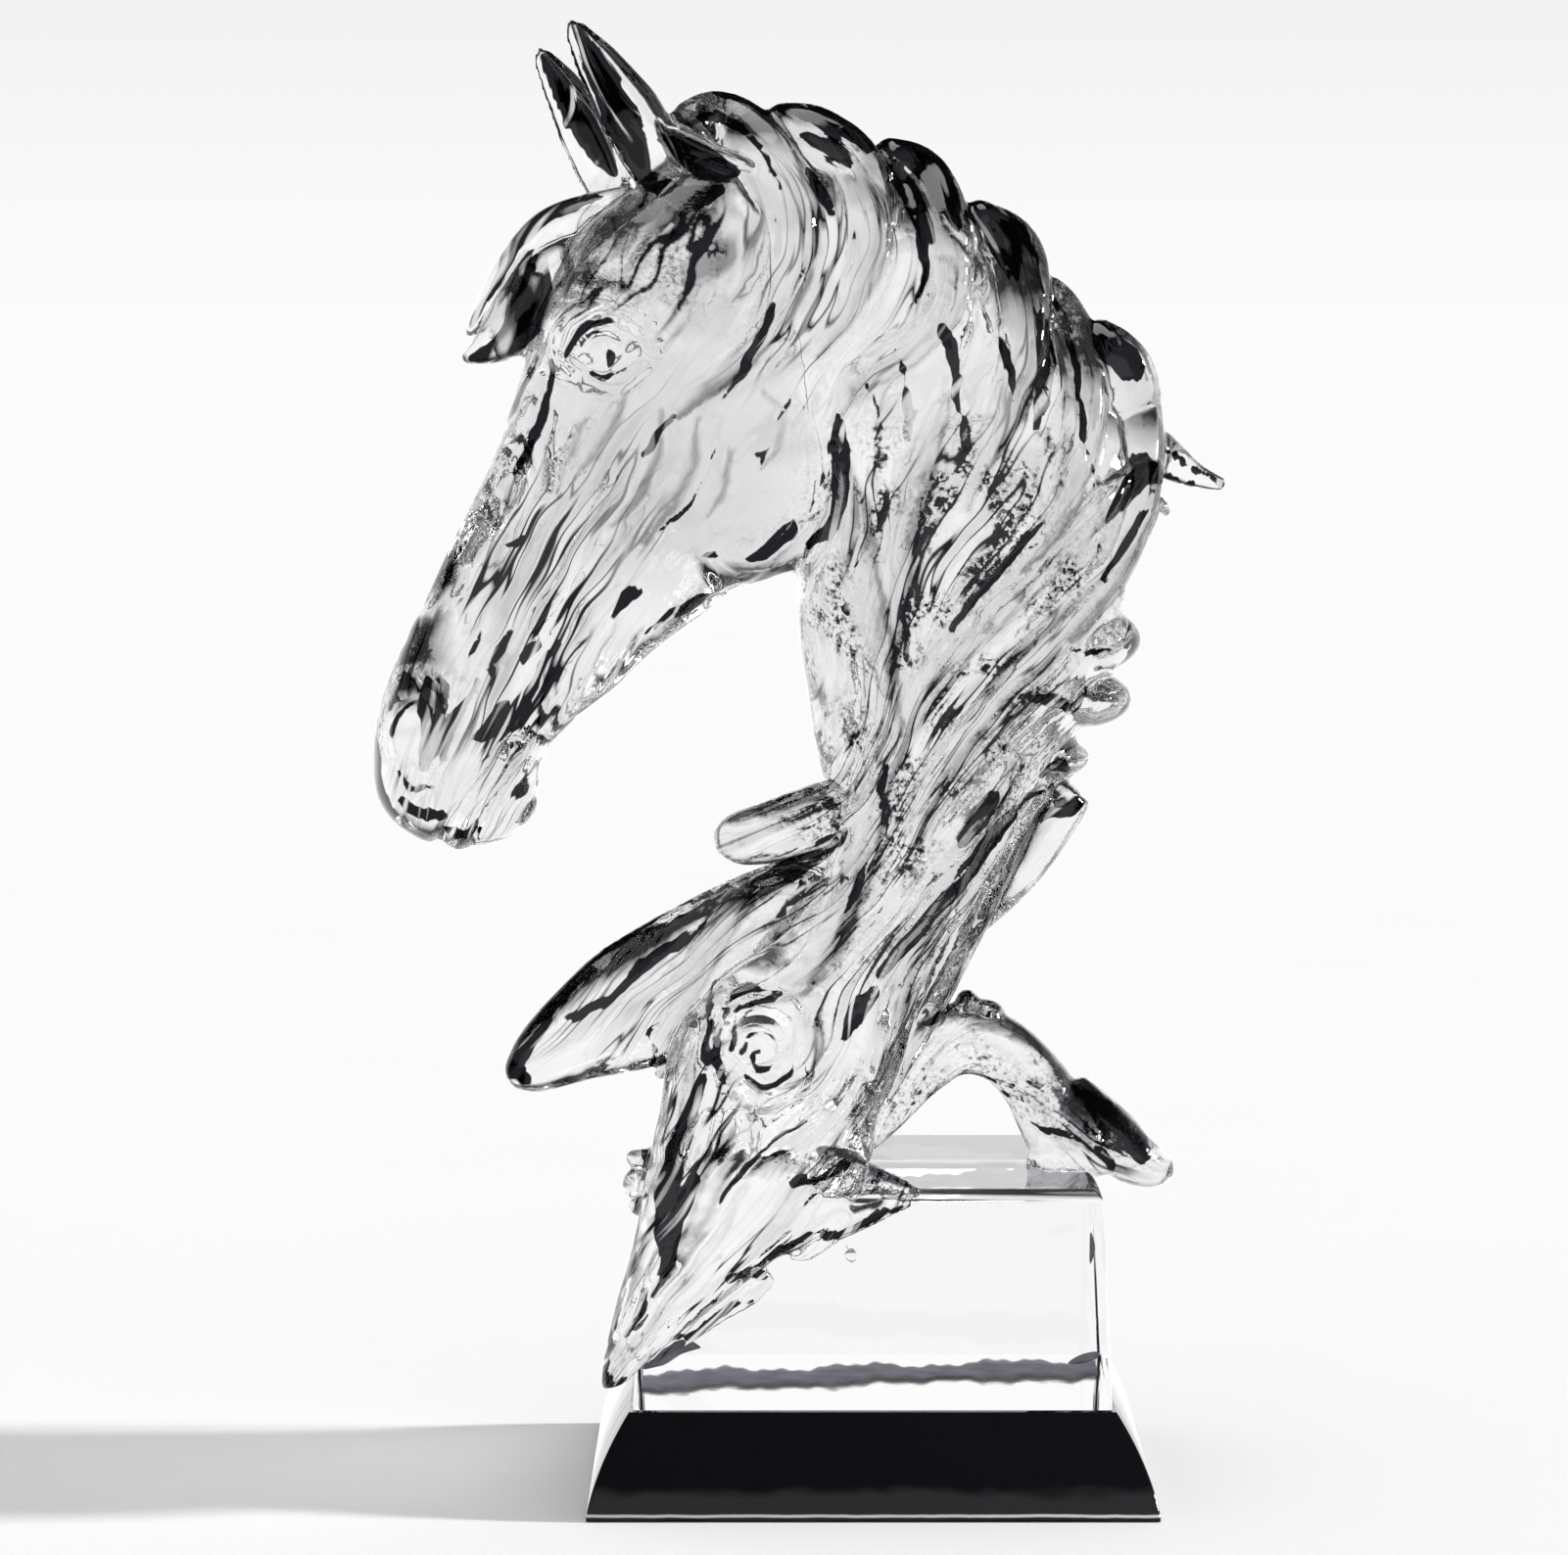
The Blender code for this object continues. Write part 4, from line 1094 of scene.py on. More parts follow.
    def _edge(self, path: Rows, off: float, share: float) -> list[tuple]:
        """Finds the shadow along one side of a lock.

        Args:
            path: The lock's path.
            off: How far off its middle the shadow lies, as a share of its half width.
            share: How wide the shadow is, as a share of the same.

        Returns:
            The shadow's path.
        """
        line = eased(path, np.linspace(0, 1, self.shadow_steps * len(path)))
        way = np.gradient(line[:, :2], axis=0)
        way /= np.linalg.norm(way, axis=1)[:, None]
        away, wide = off * line[:, 2], self.shadow_least + share * line[:, 2]
        return list(zip(line[:, 0] - way[:, 1] * away, line[:, 1] + way[:, 0] * away, wide))

    def work(self, spots: Array, normals: Array) -> None:
        """Moves drawn points in and out along their normals, as the maps say.

        Args:
            spots: The points, which are moved in place.
            normals: The surface's normals there.
        """
        least_x, most_z = self.over_block
        for side in Side:
            facing = np.clip(side.value * normals[:, 1] + self.work_slack, 0, 1) ** 0.5
            x, z = wander(spots[:, 0], spots[:, 2], *self.work_sway)
            height = self.height[side].read(x, z)
            behind = self.figure.front - self.face_skin - side.value * spots[:, 1] > 0
            quiet = behind & (spots[:, 2] < most_z) & (spots[:, 0] > least_x)
            spots += normals * (height * facing * np.where(quiet, self.quiet_share, 1.0))[:, None]

    def shades(self, spots: Array, normals: Array) -> dict[str, Array]:
        """Reads at drawn points what the finish needs to know.

        Args:
            spots: The points.
            normals: The surface's normals there.

        Returns:
            How much painted dark and painted grey shade the surface takes at each point, how frothy and
            stranded it is, and the distance across the run of the resin.
        """
        x, z = wander(spots[:, 0], spots[:, 2], *self.shade_sway)
        values = {"run": self.run.read(spots[:, 0], spots[:, 2])}
        maps = {**self.zone_maps, "ink": self.ink.values}
        for kind in ("ink", "painted_grey", "froth", "strand"):
            sheet = Sheet()
            sheet.values = maps[kind]
            values[kind] = np.zeros(len(spots))
            for side in Side:
                facing = np.clip(self.shade_slope * (side.value * normals[:, 1] + self.shade_slack), 0, 1)
                share = 1.0
                if side is Side.FAR:
                    share = self.far_froth if kind == "froth" else self.far_share
                values[kind] = np.maximum(values[kind], share * sheet.read(x, z) * facing)
        return values


def join_rings(bm: bmesh.types.BMesh, rings: list[list[bmesh.types.BMVert]]) -> None:
    """Joins rings of vertices to one closed shape.

    Args:
        bm: What the rings are in.
        rings: The rings in order, all with the same number of vertices.
    """
    for last, ring in zip(rings, rings[1:]):
        for i in range(len(ring)):
            bm.faces.new((last[i - 1], last[i], ring[i], ring[i - 1]))
    bm.faces.new(rings[0])
    bm.faces.new(rings[-1])
    bmesh.ops.recalc_face_normals(bm, faces=bm.faces[:])


@dataclass
class Casting:
    """The clear casting: the carved figure and the block under it, in one piece."""

    fit: Fit
    figure: Figure
    grain: float = 0.85
    melt: int = 4
    most_triangles: int = 188_000
    upright_edge: float = 0.8
    upper_edge: float = 3.2
    quick_grain: float = 1.6
    melt_share: float = 0.5
    corner_steps: int = 4
    edge_steps: int = 8
    fewest_points: int = 200
    tilt_slack: float = 1e-4
    level_cosine: float = 0.99999
    plane_area: float = 2e-6

    def _skin(self, grain: float) -> bpy.types.Object:
        """Turns the figure's overlapping shapes into one skin, in drawn units.

        Args:
            grain: The size of the skin's cells, in units.

        Returns:
            The skin.
        """
        obj = new_object("clear_casting", self.figure.model().bm)
        remesh = obj.modifiers.new("Skin", "REMESH")
        remesh.mode = "VOXEL"
        remesh.voxel_size = grain
        smooth = obj.modifiers.new("Melt", "SMOOTH")
        smooth.factor = self.melt_share
        smooth.iterations = self.melt
        settle_modifiers(obj)
        return obj

    def _read(self, mesh: bpy.types.Mesh, kind: str) -> Array:
        """Reads the vertices' places or normals.

        Args:
            mesh: The mesh.
            kind: Which of the two: co or normal.

        Returns:
            One row for each vertex.
        """
        values = np.empty(len(mesh.vertices) * 3)
        mesh.vertices.foreach_get(kind, values)
        return values.reshape(-1, 3)

    def _ring(self, bm: bmesh.types.BMesh, inset: float, height: float) -> list[bmesh.types.BMVert]:
        """Makes one level of the block: a rectangle with small round corners.

        Args:
            bm: What it is made in.
            inset: How far it lies inside the block's foot.
            height: Its drawn height.

        Returns:
            Its vertices.
        """
        fit, corner, spots = self.fit, self.upright_edge, []
        for turn in range(4):
            middle = math.radians(90 * turn + 45)
            x = math.copysign(fit.half_width - inset - corner, math.cos(middle))
            y = math.copysign(fit.half_depth - inset - corner, math.sin(middle))
            for step in range(self.corner_steps + 1):
                angle = math.radians(90 * (turn + step / self.corner_steps))
                spots.append((x + corner * math.cos(angle), y + corner * math.sin(angle), height))
        return [bm.verts.new(spot) for spot in fit.place(np.array(spots))]

    def _block(self) -> bpy.types.Object:
        """Makes the clear block, narrower towards its top, with rounded edges, the upper ones rounder.

        Returns:
            The block, as an object of its own.
        """
        fit, bm = self.fit, bmesh.new()
        turned = fit.drawn_top - self.upper_edge
        slope = fit.batter / (fit.drawn_top - fit.drawn_low)
        levels = [(0.0, fit.drawn_low)]
        for step in range(self.edge_steps + 1):
            angle = math.radians(90 * step / self.edge_steps)
            inset = slope * (turned - fit.drawn_low) + self.upper_edge * (1 - math.cos(angle))
            levels.append((inset, turned + self.upper_edge * math.sin(angle)))
        join_rings(bm, [self._ring(bm, *level) for level in levels])
        return new_object("clear_block", bm)

    def _paint(self, mesh: bpy.types.Mesh, carving: Carving) -> None:
        """Stores on the mesh what the finish needs to know, which is nothing on the block's own faces.

        Args:
            mesh: The casting's mesh, in place.
            carving: The maps to read.
        """
        spots = self.fit.drawn(self._read(mesh, "co"))
        free = self.fit.outside_block(spots)
        for name, values in carving.shades(spots, self._read(mesh, "normal")).items():
            mesh.attributes.new(name, "FLOAT", "POINT").data.foreach_set("value", values * free)

    def _drop_specks(self, mesh: bpy.types.Mesh) -> None:
        """Takes out the tiny closed bubbles that the union of the shapes leaves inside.

        Args:
            mesh: The casting's mesh.
        """
        bm = bmesh.new()
        bm.from_mesh(mesh)
        unseen = set(bm.verts)
        while unseen:
            shell, border = set(), {next(iter(unseen))}
            while border:
                shell |= border
                border = {edge.other_vert(vert) for vert in border for edge in vert.link_edges} - shell
            unseen -= shell
            if len(shell) < self.fewest_points:
                bmesh.ops.delete(bm, geom=list(shell), context="VERTS")
        bm.to_mesh(mesh)
        bm.free()

    def _flatten_block_faces(self, mesh: bpy.types.Mesh) -> None:
        """Shades the block's true planes flat, so that one looks straight through them.

        Args:
            mesh: The casting's mesh, in place.
        """
        tilt = math.cos(math.atan2(self.fit.batter, self.fit.drawn_top - self.fit.drawn_low))
        for face in mesh.polygons:
            x, y, z = face.normal
            upright = max(abs(x), abs(y)) > tilt - self.tilt_slack
            plane = upright or abs(z) > self.level_cosine
            face.use_smooth = not (plane and face.area > self.plane_area)

    def build(self) -> bpy.types.Object:
        """Makes the casting.

        Returns:
            The finished mesh, without its material.
        """
        carving = Carving(self.figure)
        log.info("maps drawn")
        obj = self._skin(self.grain)
        log.info("skin: %d triangles", triangles(obj))
        spots = self._read(obj.data, "co")
        carving.work(spots, self._read(obj.data, "normal"))
        obj.data.vertices.foreach_set("co", self.fit.place(spots).ravel())
        obj.data.update()
        thin = obj.modifiers.new("Thin", "DECIMATE")
        thin.ratio = min(1.0, self.most_triangles / triangles(obj))
        block = self._block()
        join = obj.modifiers.new("Cast with block", "BOOLEAN")
        join.operation = "UNION"
        join.object = block
        settle_modifiers(obj)
        bpy.data.objects.remove(block)
        self._drop_specks(obj.data)
        self._flatten_block_faces(obj.data)
        self._paint(obj.data, carving)
        return obj


@dataclass
class Foot:
    """The black foot: it swells outwards down to a narrow lip."""

    low: Vector
    high: Vector
    top_width: float = 0.122
    top_depth: float = 0.102
    lip: float = 0.0012
    steps: int = 28
    corner: float = 0.0007
    corner_segments: int = 4
    roundness: float = 0.45
    sharp_from: float = math.radians(28)
    cut_slack: float = 1e-7

    def _blank(self, width: float, depth: float, rise: float) -> bmesh.types.BMesh:
        """Makes the foot's box with rounded upright edges, cut into levels above the lip.

        Args:
            width: Its width.
            depth: Its depth.
            rise: Its height, from z 0 upwards.

        Returns:
            The box.
        """
        bm = bmesh.new()
        bmesh.ops.create_cube(bm, size=1.0)
        bmesh.ops.scale(bm, vec=(width, depth, rise), verts=bm.verts)
        bmesh.ops.translate(bm, vec=(0, 0, rise / 2), verts=bm.verts)
        upright = [e for e in bm.edges if abs(e.verts[0].co.z - e.verts[1].co.z) > rise / 2]
        bmesh.ops.bevel(
            bm, geom=upright, offset=self.corner, segments=self.corner_segments, profile=0.5,
            affect="EDGES", material=-1,
        )
        for i in range(self.steps):
            height = self.lip + (rise - self.lip) * i / self.steps
            bmesh.ops.bisect_plane(
                bm, geom=[*bm.verts, *bm.edges, *bm.faces], dist=self.cut_slack,
                plane_co=(0, 0, height), plane_no=(0, 0, 1),
            )
        return bm

    def build(self) -> bpy.types.Object:
        """Makes the foot.

        Returns:
            The finished mesh, without its material.
        """
        width, depth, rise = (high - low for high, low in zip(self.high, self.low))
        bm = self._blank(width, depth, rise)
        for vert in bm.verts:
            up = max(0.0, (vert.co.z - self.lip) / (rise - self.lip))
            swell = 1 - self.roundness * up - (1 - self.roundness) * up * up
            vert.co.x *= (self.top_width + (width - self.top_width) * swell) / width
            vert.co.y *= (self.top_depth + (depth - self.top_depth) * swell) / depth
        bmesh.ops.translate(bm, vec=(0, 0, self.low.z), verts=bm.verts)
        obj = new_object("black_foot_polished", bm)
        obj.data.shade_smooth()
        obj.data.set_sharp_from_angle(angle=self.sharp_from)
        return obj


@dataclass
class PourLine:
    """A thin ragged film of black resin, sealed low in the clear block and seen through its front.

    The sizes are in units. An edge is its depth in the middle, its slope, and waves of size, pitch and
    start. The tongue is how far the front edge comes forward, where, and how widely.
    """

    fit: Fit
    above: float = 0.4
    thick: float = 0.25
    steps: int = 200
    side_gap: float = 1.5
    back_gap: float = 3.0
    front: tuple[float, float] = (-6.0, 0.19)
    back: tuple[float, float] = (27.0, 0.2)
    front_waves: Rows = ((3.5, 0.11, 0), (2.6, 0.31, 1), (1.6, 0.83, 0))
    back_waves: Rows = ((4.6, 0.17, 2), (2.6, 0.47, 0), (1.6, 1.3, 0))
    tongue: tuple[float, float, float] = (8.0, -50.0, 14.0)
    shares: tuple[float, ...] = (0.0, 0.4, 0.85, 1.0)
    wisp_body: float = 0.8
    wisp_cap: float = 0.3
    wisps: tuple[Rows, ...] = (
        ((-57.5, -45, 35.5, 0.8, 0.5), (-54, -45, 39, 3.0, 0.6), (-49, -45, 41.5, 2.6, 0.6),
         (-43, -45, 41, 0.6, 0.4)),
        ((49, -45, 37, 0.5, 0.4), (53, -45, 38.2, 1.2, 0.5), (57, -45, 39.5, 0.8, 0.4)),
        ((54.5, -44, 62, 0.3, 0.3), (55, -44, 66, 0.7, 0.5), (54.6, -44, 70, 0.3, 0.3)),
    )

    def _edge(self, x: float, line: tuple[float, float], waves: Rows) -> float:
        """Works out where one of the film's edges runs.

        Args:
            x: The place across.
            line: The straight line that the edge follows, as its depth in the middle and its slope.
            waves: The waves on it, each as its size, its pitch and where it starts.

        Returns:
            The edge's depth there.
        """
        straight = line[0] + line[1] * x
        return straight + sum(size * math.sin(pitch * x + start) for size, pitch, start in waves)

    def _film(self) -> bmesh.types.BMesh:
        """Makes the film, with a body of 1 in its middle and 0 along its edges, where it frays.

        Returns:
            The film, in place.
        """
        fit, bm, rings = self.fit, bmesh.new(), []
        body = bm.verts.layers.float.new("body")
        reach, middle, spread = self.tongue
        z = fit.drawn_low + self.above
        for i in range(self.steps + 1):
            x = (2 * i / self.steps - 1) * (fit.half_width - self.side_gap)
            front = self._edge(x, self.front, self.front_waves)
            front -= reach * math.exp(-(((x - middle) / spread) ** 2))
            back = min(self._edge(x, self.back, self.back_waves), fit.half_depth - self.back_gap)
            spots = [(x, front + share * (back - front), z) for share in self.shares]
            spots += [(x, y, z + self.thick) for x, y, z in reversed(spots)]
            ring = [bm.verts.new(spot) for spot in fit.place(np.array(spots))]
            for vert, share in zip(ring, (*self.shares, *reversed(self.shares))):
                vert[body] = float(0 < share < 1)
            rings.append(ring)
        join_rings(bm, rings)
        return bm

    def _wisps(self) -> bpy.types.Mesh:
        """Makes the wisps that rise from the film's ends.

        Returns:
            The wisps, in place.
        """
        clay = Clay()
        for rows in self.wisps:
            clay.limb(rows, cap=self.wisp_cap)
        body = clay.bm.verts.layers.float.new("body")
        spots = self.fit.place(np.array([vert.co for vert in clay.bm.verts]))
        for vert, spot in zip(clay.bm.verts, spots):
            vert.co = spot
            vert[body] = self.wisp_body
        mesh = bpy.data.meshes.new("wisps")
        clay.bm.to_mesh(mesh)
        clay.bm.free()
        return mesh

    def build(self) -> bpy.types.Object:
        """Makes the film and its wisps.

        Returns:
            The finished mesh, without its material.
        """
        bm, wisps = self._film(), self._wisps()
        bm.from_mesh(wisps)
        bpy.data.meshes.remove(wisps)
        return new_object("pour_line", bm)


class Nodes:
    """A node tree, with short calls for the nodes that the finishes share."""

    unit = 0.001
    sway = 3.5
    sway_scale = 50.0

    def __init__(self, tree: bpy.types.NodeTree) -> None:
        """Starts with the place in the object's own space."""
        self.tree = tree
        self.place = self.add("ShaderNodeTexCoord").outputs["Object"]

    def add(self, kind: str, **values: float) -> bpy.types.ShaderNode:
        """Adds a node and sets its inputs.

        Args:
            kind: The node's type.
            values: The inputs' values, by names that are written with _ for a space.

        Returns:
            The node.
        """
        node = self.tree.nodes.new(kind)
        for key, value in values.items():
            node.inputs[key.replace("_", " ")].default_value = value
        return node

    def link(self, source: bpy.types.NodeSocket, target: bpy.types.NodeSocket) -> None:
        """Links two sockets."""
        self.tree.links.new(source, target)

    def feed(self, node: bpy.types.ShaderNode, *values: object) -> bpy.types.NodeSocket:
        """Gives a node its first inputs.

        Args:
            node: The node.
            values: What each input gets: a plain value, or a socket to link.

        Returns:
            The node's first output.
        """
        for socket, value in zip(node.inputs, values):
            if isinstance(value, bpy.types.NodeSocket):
                self.link(value, socket)
            else:
                socket.default_value = value
        return node.outputs[0]

    def math(self, operation: str, *values: object) -> bpy.types.NodeSocket:
        """Works on values, each a number or a socket.

        Args:
            operation: The operation's name.
            values: What it works on.

        Returns:
            The result.
        """
        node = self.add("ShaderNodeMath")
        node.operation = operation
        return self.feed(node, *values)

    def total(self, *terms: tuple[bpy.types.NodeSocket, float]) -> bpy.types.NodeSocket:
        """Adds up values, each times a weight.

        Args:
            terms: The values, each with its weight.

        Returns:
            The sum.
        """
        whole = 0.0
        for value, weight in terms:
            whole = self.math("MULTIPLY_ADD", value, weight, whole)
        return whole

    def attribute(self, name: str) -> bpy.types.NodeSocket:
        """Reads one of the mesh's own attributes.

        Args:
            name: The attribute's name.

        Returns:
            Its value.
        """
        node = self.add("ShaderNodeAttribute")
        node.attribute_name = name
        return node.outputs["Fac"]

    def noise(self, scale: float, detail: float = 3.0) -> bpy.types.NodeSocket:
        """Adds noise in the object's own space.

        Args:
            scale: How often it changes in a metre.
            detail: How many finer layers it has.

        Returns:
            The noise, about 0.5.
        """
        node = self.add("ShaderNodeTexNoise", Scale=scale, Detail=detail)
        self.link(self.place, node.inputs["Vector"])
        return node.outputs["Fac"]

    def strands(self, width: float, length: float) -> bpy.types.NodeSocket:
        """Adds noise in strands along the run of the resin.

        Args:
            width: About how wide a strand is, in metres.
            length: About how long it is.

        Returns:
            The noise, about 0.5.
        """
        node = self.add("ShaderNodeTexNoise", Scale=1 / length, Detail=1.0)
        node.noise_dimensions = "4D"
        self.link(self.place, node.inputs["Vector"])
        sway = self.math("MULTIPLY", self.noise(self.sway_scale, 1.0), self.sway)
        swayed = self.math("ADD", self.attribute("run"), sway)
        self.link(self.math("MULTIPLY", swayed, self.unit * length / width), node.inputs["W"])
        return node.outputs["Fac"]

    def ramp(self, source: bpy.types.NodeSocket, stops: Rows) -> bpy.types.NodeSocket:
        """Turns a value into a colour.

        Args:
            source: The value.
            stops: The position, red, green and blue of each stop.

        Returns:
            The colour.
        """
        node = self.add("ShaderNodeValToRGB")
        elements = node.color_ramp.elements
        for _ in stops[2:]:
            elements.new(0.5)
        for element, (position, *colour) in zip(elements, stops):
            element.position = position
            element.color = (*colour, 1)
        self.link(source, node.inputs["Fac"])
        return node.outputs["Color"]

    def mask(self, source: bpy.types.NodeSocket, *stops: tuple[float, float]) -> bpy.types.NodeSocket:
        """Turns a value into a mask, by stops of position and strength."""
        return self.ramp(source, [(position, value, value, value) for position, value in stops])


class Polish(Nodes):
    """The unevenness that polishing leaves, as a node group that both resins share."""

    name = "polish"
    wave_scale = 45.0
    wiping_scale = 900.0
    wiping_turn = (0.0, math.radians(35), 0.0)
    wiping_stretch = (0.12, 1.0, 1.0)

    def __init__(self) -> None:
        """Makes the group, with long waves and faint wiping marks, each from 0 to 1."""
        super().__init__(bpy.data.node_groups.new(self.name, "ShaderNodeTree"))
        for name in ("Waves", "Wiping"):
            self.tree.interface.new_socket(name=name, in_out="OUTPUT", socket_type="NodeSocketFloat")
        ends = self.add("NodeGroupOutput")
        self.link(self.noise(self.wave_scale, 2.0), ends.inputs["Waves"])
        stretched = self.add("ShaderNodeMapping", Rotation=self.wiping_turn, Scale=self.wiping_stretch)
        self.link(self.place, stretched.inputs["Vector"])
        self.place = stretched.outputs["Vector"]
        wiping = self.mask(self.noise(self.wiping_scale, 2.0), (0.55, 0), (0.72, 1))
        self.link(wiping, ends.inputs["Wiping"])


class Finish(Nodes):
    """A material's node tree, with one Principled shader."""

    def __init__(self, name: str) -> None:
        """Starts the material.

        Args:
            name: Its name.
        """
        self.material = bpy.data.materials.new(name)
        self.material.use_nodes = True
        super().__init__(self.material.node_tree)
        self.shader = self.tree.nodes["Principled BSDF"]

    def set(self, name: str, value: object) -> None:
        """Gives one of the shader's inputs a plain value."""
        self.shader.inputs[name].default_value = value

    def drive(self, name: str, source: bpy.types.NodeSocket) -> None:
        """Links a source to one of the shader's inputs."""
        self.link(source, self.shader.inputs[name])

    def polish(self) -> bpy.types.ShaderNode:
        """Places the shared group of the polish, which is made for the first finish that asks for it.

        Returns:
            The group's node.
        """
        node = self.add("ShaderNodeGroup")
        node.node_tree = bpy.data.node_groups.get(Polish.name) or Polish().tree
        return node

    def bump(self, height: bpy.types.NodeSocket) -> None:
        """Puts a bump on the shader.

        Args:
            height: The relief's height, in metres.
        """
        node = self.add("ShaderNodeBump", Strength=1.0, Distance=1.0)
        self.link(height, node.inputs["Height"])
        self.drive("Normal", node.outputs["Normal"])


@dataclass(frozen=True)
class ClearResin:
    """Water-clear cast resin, polished, with strands and froth where it is carved, and painted shade:
    dark marks and grey.
    """

    name: str = "clear_resin"
    ior: float = 1.5
    clear: tuple[float, float, float] = (0.985, 0.988, 0.99)
    # The greys of the painted shade.
    grey: tuple[float, float, float] = (0.6, 0.6, 0.61)
    dark: tuple[float, float, float] = (0.16, 0.16, 0.165)
    black: tuple[float, float, float] = (0.0004, 0.0004, 0.0006)
    wide_strands: tuple[float, float] = (0.005, 0.06)
    thin_strands: tuple[float, float] = (0.002, 0.035)
    bundles: tuple[float, float] = (0.008, 0.05)
    patch_scale: float = 80.0
    lace_scale: float = 240.0
    froth_scale: float = 800.0
    bubble_scale: float = 1120.0
    froth_depth: float = 0.0002
    strand_depth: float = 0.0013
    polish_depth: float = 0.00004

    def _marks(self, nodes: Finish, wide: bpy.types.NodeSocket, thin: bpy.types.NodeSocket) -> Terms:
        """Makes the painted shade that follows the run: dark lines along the strands, in bundles, and the
        drawn dark blots.

        Args:
            nodes: The material's nodes.
            wide: The wide strands.
            thin: The thin strands.

        Returns:
            The marks, each with its weight in the veil.
        """
        # Painted shade in the strands: dark lines along their creases and in the hollows of their relief.
        creases = nodes.mask(thin, (0.455, 0), (0.5, 1), (0.545, 0))
        hollows = nodes.mask(wide, (0.3, 1), (0.38, 0))
        hollow_shade = nodes.mask(thin, (0.35, 1), (0.65, 0))
        lines = nodes.total((creases, 0.66), (hollows, 0.55), (hollow_shade, 0.27))
        bundles = nodes.mask(nodes.strands(*self.bundles), (0.45, 1), (0.55, 0.16))
        strands = nodes.math("MULTIPLY", nodes.attribute("strand"), lines)
        # Painted shade: the drawn dark blots, with ragged edges.
        ragged = nodes.total((nodes.attribute("ink"), 0.5), (thin, 0.6), (wide, 0.3))
        gaps = nodes.mask(thin, (0.56, 1), (0.66, 0.4))
        blots = nodes.math("MULTIPLY", nodes.mask(ragged, (0.68, 0), (0.73, 1)), gaps)
        return [(nodes.math("MULTIPLY", strands, bundles), 1.0), (blots, 0.8)]

    def _froth(self, nodes: Finish, frothy: bpy.types.NodeSocket) -> Terms:
        """Makes the froth's own marks: fine specks, and a lace of rings and spots.

        Args:
            nodes: The material's nodes.
            frothy: How frothy the surface is.

        Returns:
            The marks, each with its weight in the veil.
        """
        specks = nodes.mask(nodes.noise(self.froth_scale, 2.0), (0.48, 0), (0.62, 1))
        cells = ((0.43, 0), (0.47, 0.6), (0.51, 0), (0.57, 0), (0.62, 1))
        lace = nodes.mask(nodes.noise(self.lace_scale, 4.0), *cells)
        return [
            (nodes.math("MULTIPLY", frothy, specks), 0.6),
            (nodes.math("MULTIPLY", frothy, lace), 0.68),
        ]

    def make(self) -> bpy.types.Material:
        """Makes the material.

        Returns:
            The material.
        """
        nodes = Finish(self.name)
        nodes.set("Transmission Weight", 1.0)
        nodes.set("IOR", self.ior)
        nodes.set("Roughness", 0.0)
        wide, thin = nodes.strands(*self.wide_strands), nodes.strands(*self.thin_strands)
        patches = nodes.mask(nodes.noise(self.patch_scale, 2.0), (0.43, 0), (0.55, 1))
        frothy = nodes.math("MULTIPLY", nodes.attribute("froth"), patches)
        marks = [*self._marks(nodes, wide, thin), *self._froth(nodes, frothy)]
        # The veil paints grey and dark shade into the base colour, with the froth's specks and lace.
        veil = nodes.total((nodes.attribute("painted_grey"), 1.0), *marks)
        darker = ((0.0, *self.clear), (0.35, *self.grey), (0.5, *self.dark), (0.7, *self.black))
        nodes.drive("Base Color", nodes.ramp(veil, darker))
        bubbles = nodes.math("MULTIPLY", nodes.noise(self.bubble_scale, 2.0), frothy)
        waves = nodes.math("MULTIPLY", nodes.attribute("strand"), nodes.total((wide, 0.7), (thin, 0.3)))
        polish = nodes.polish().outputs["Waves"]
        nodes.bump(nodes.total(
            (bubbles, self.froth_depth), (waves, self.strand_depth), (polish, self.polish_depth)
        ))
        return nodes.material


@dataclass(frozen=True)
class BlackResin:
    """Black resin, polished to a high gloss, faintly uneven, with a pale line above its lip that is a
    painted highlight.

    The line's stops are shares of its height.
    """

    name: str = "black_resin"
    line_height: float = 0.0032
    line_sway: float = 0.0006
    sway_scale: float = 110.0
    polish_depth: float = 0.0007
    smoothest: float = 0.03
    wiped: float = 0.05
    black: tuple[float, float, float] = (0.006, 0.006, 0.008)
    # The colour of the painted highlight.
    painted_highlight: tuple[float, float, float] = (0.62, 0.62, 0.62)
    line: tuple[float, float, float, float] = (0.42, 0.5, 0.62, 0.72)

    def make(self) -> bpy.types.Material:
        """Makes the material.

        Returns:
            The material.
        """
        nodes = Finish(self.name)
        polish = nodes.polish().outputs
        nodes.drive("Roughness", nodes.math("MULTIPLY_ADD", polish["Wiping"], self.wiped, self.smoothest))
        split = nodes.add("ShaderNodeSeparateXYZ")
        nodes.feed(split, nodes.place)
        sway = nodes.math("MULTIPLY", nodes.noise(self.sway_scale), self.line_sway)
        height = nodes.math("DIVIDE", nodes.math("ADD", split.outputs["Z"], sway), self.line_height)
        # The pale line is a painted highlight along the foot's lower edge.
        colours = (self.black, self.painted_highlight, self.painted_highlight, self.black)
        line = [(at, *colour) for at, colour in zip(self.line, colours)]
        nodes.drive("Base Color", nodes.ramp(height, ((0.0, *self.black), *line)))
        nodes.bump(nodes.total((polish["Waves"], self.polish_depth)))
        return nodes.material


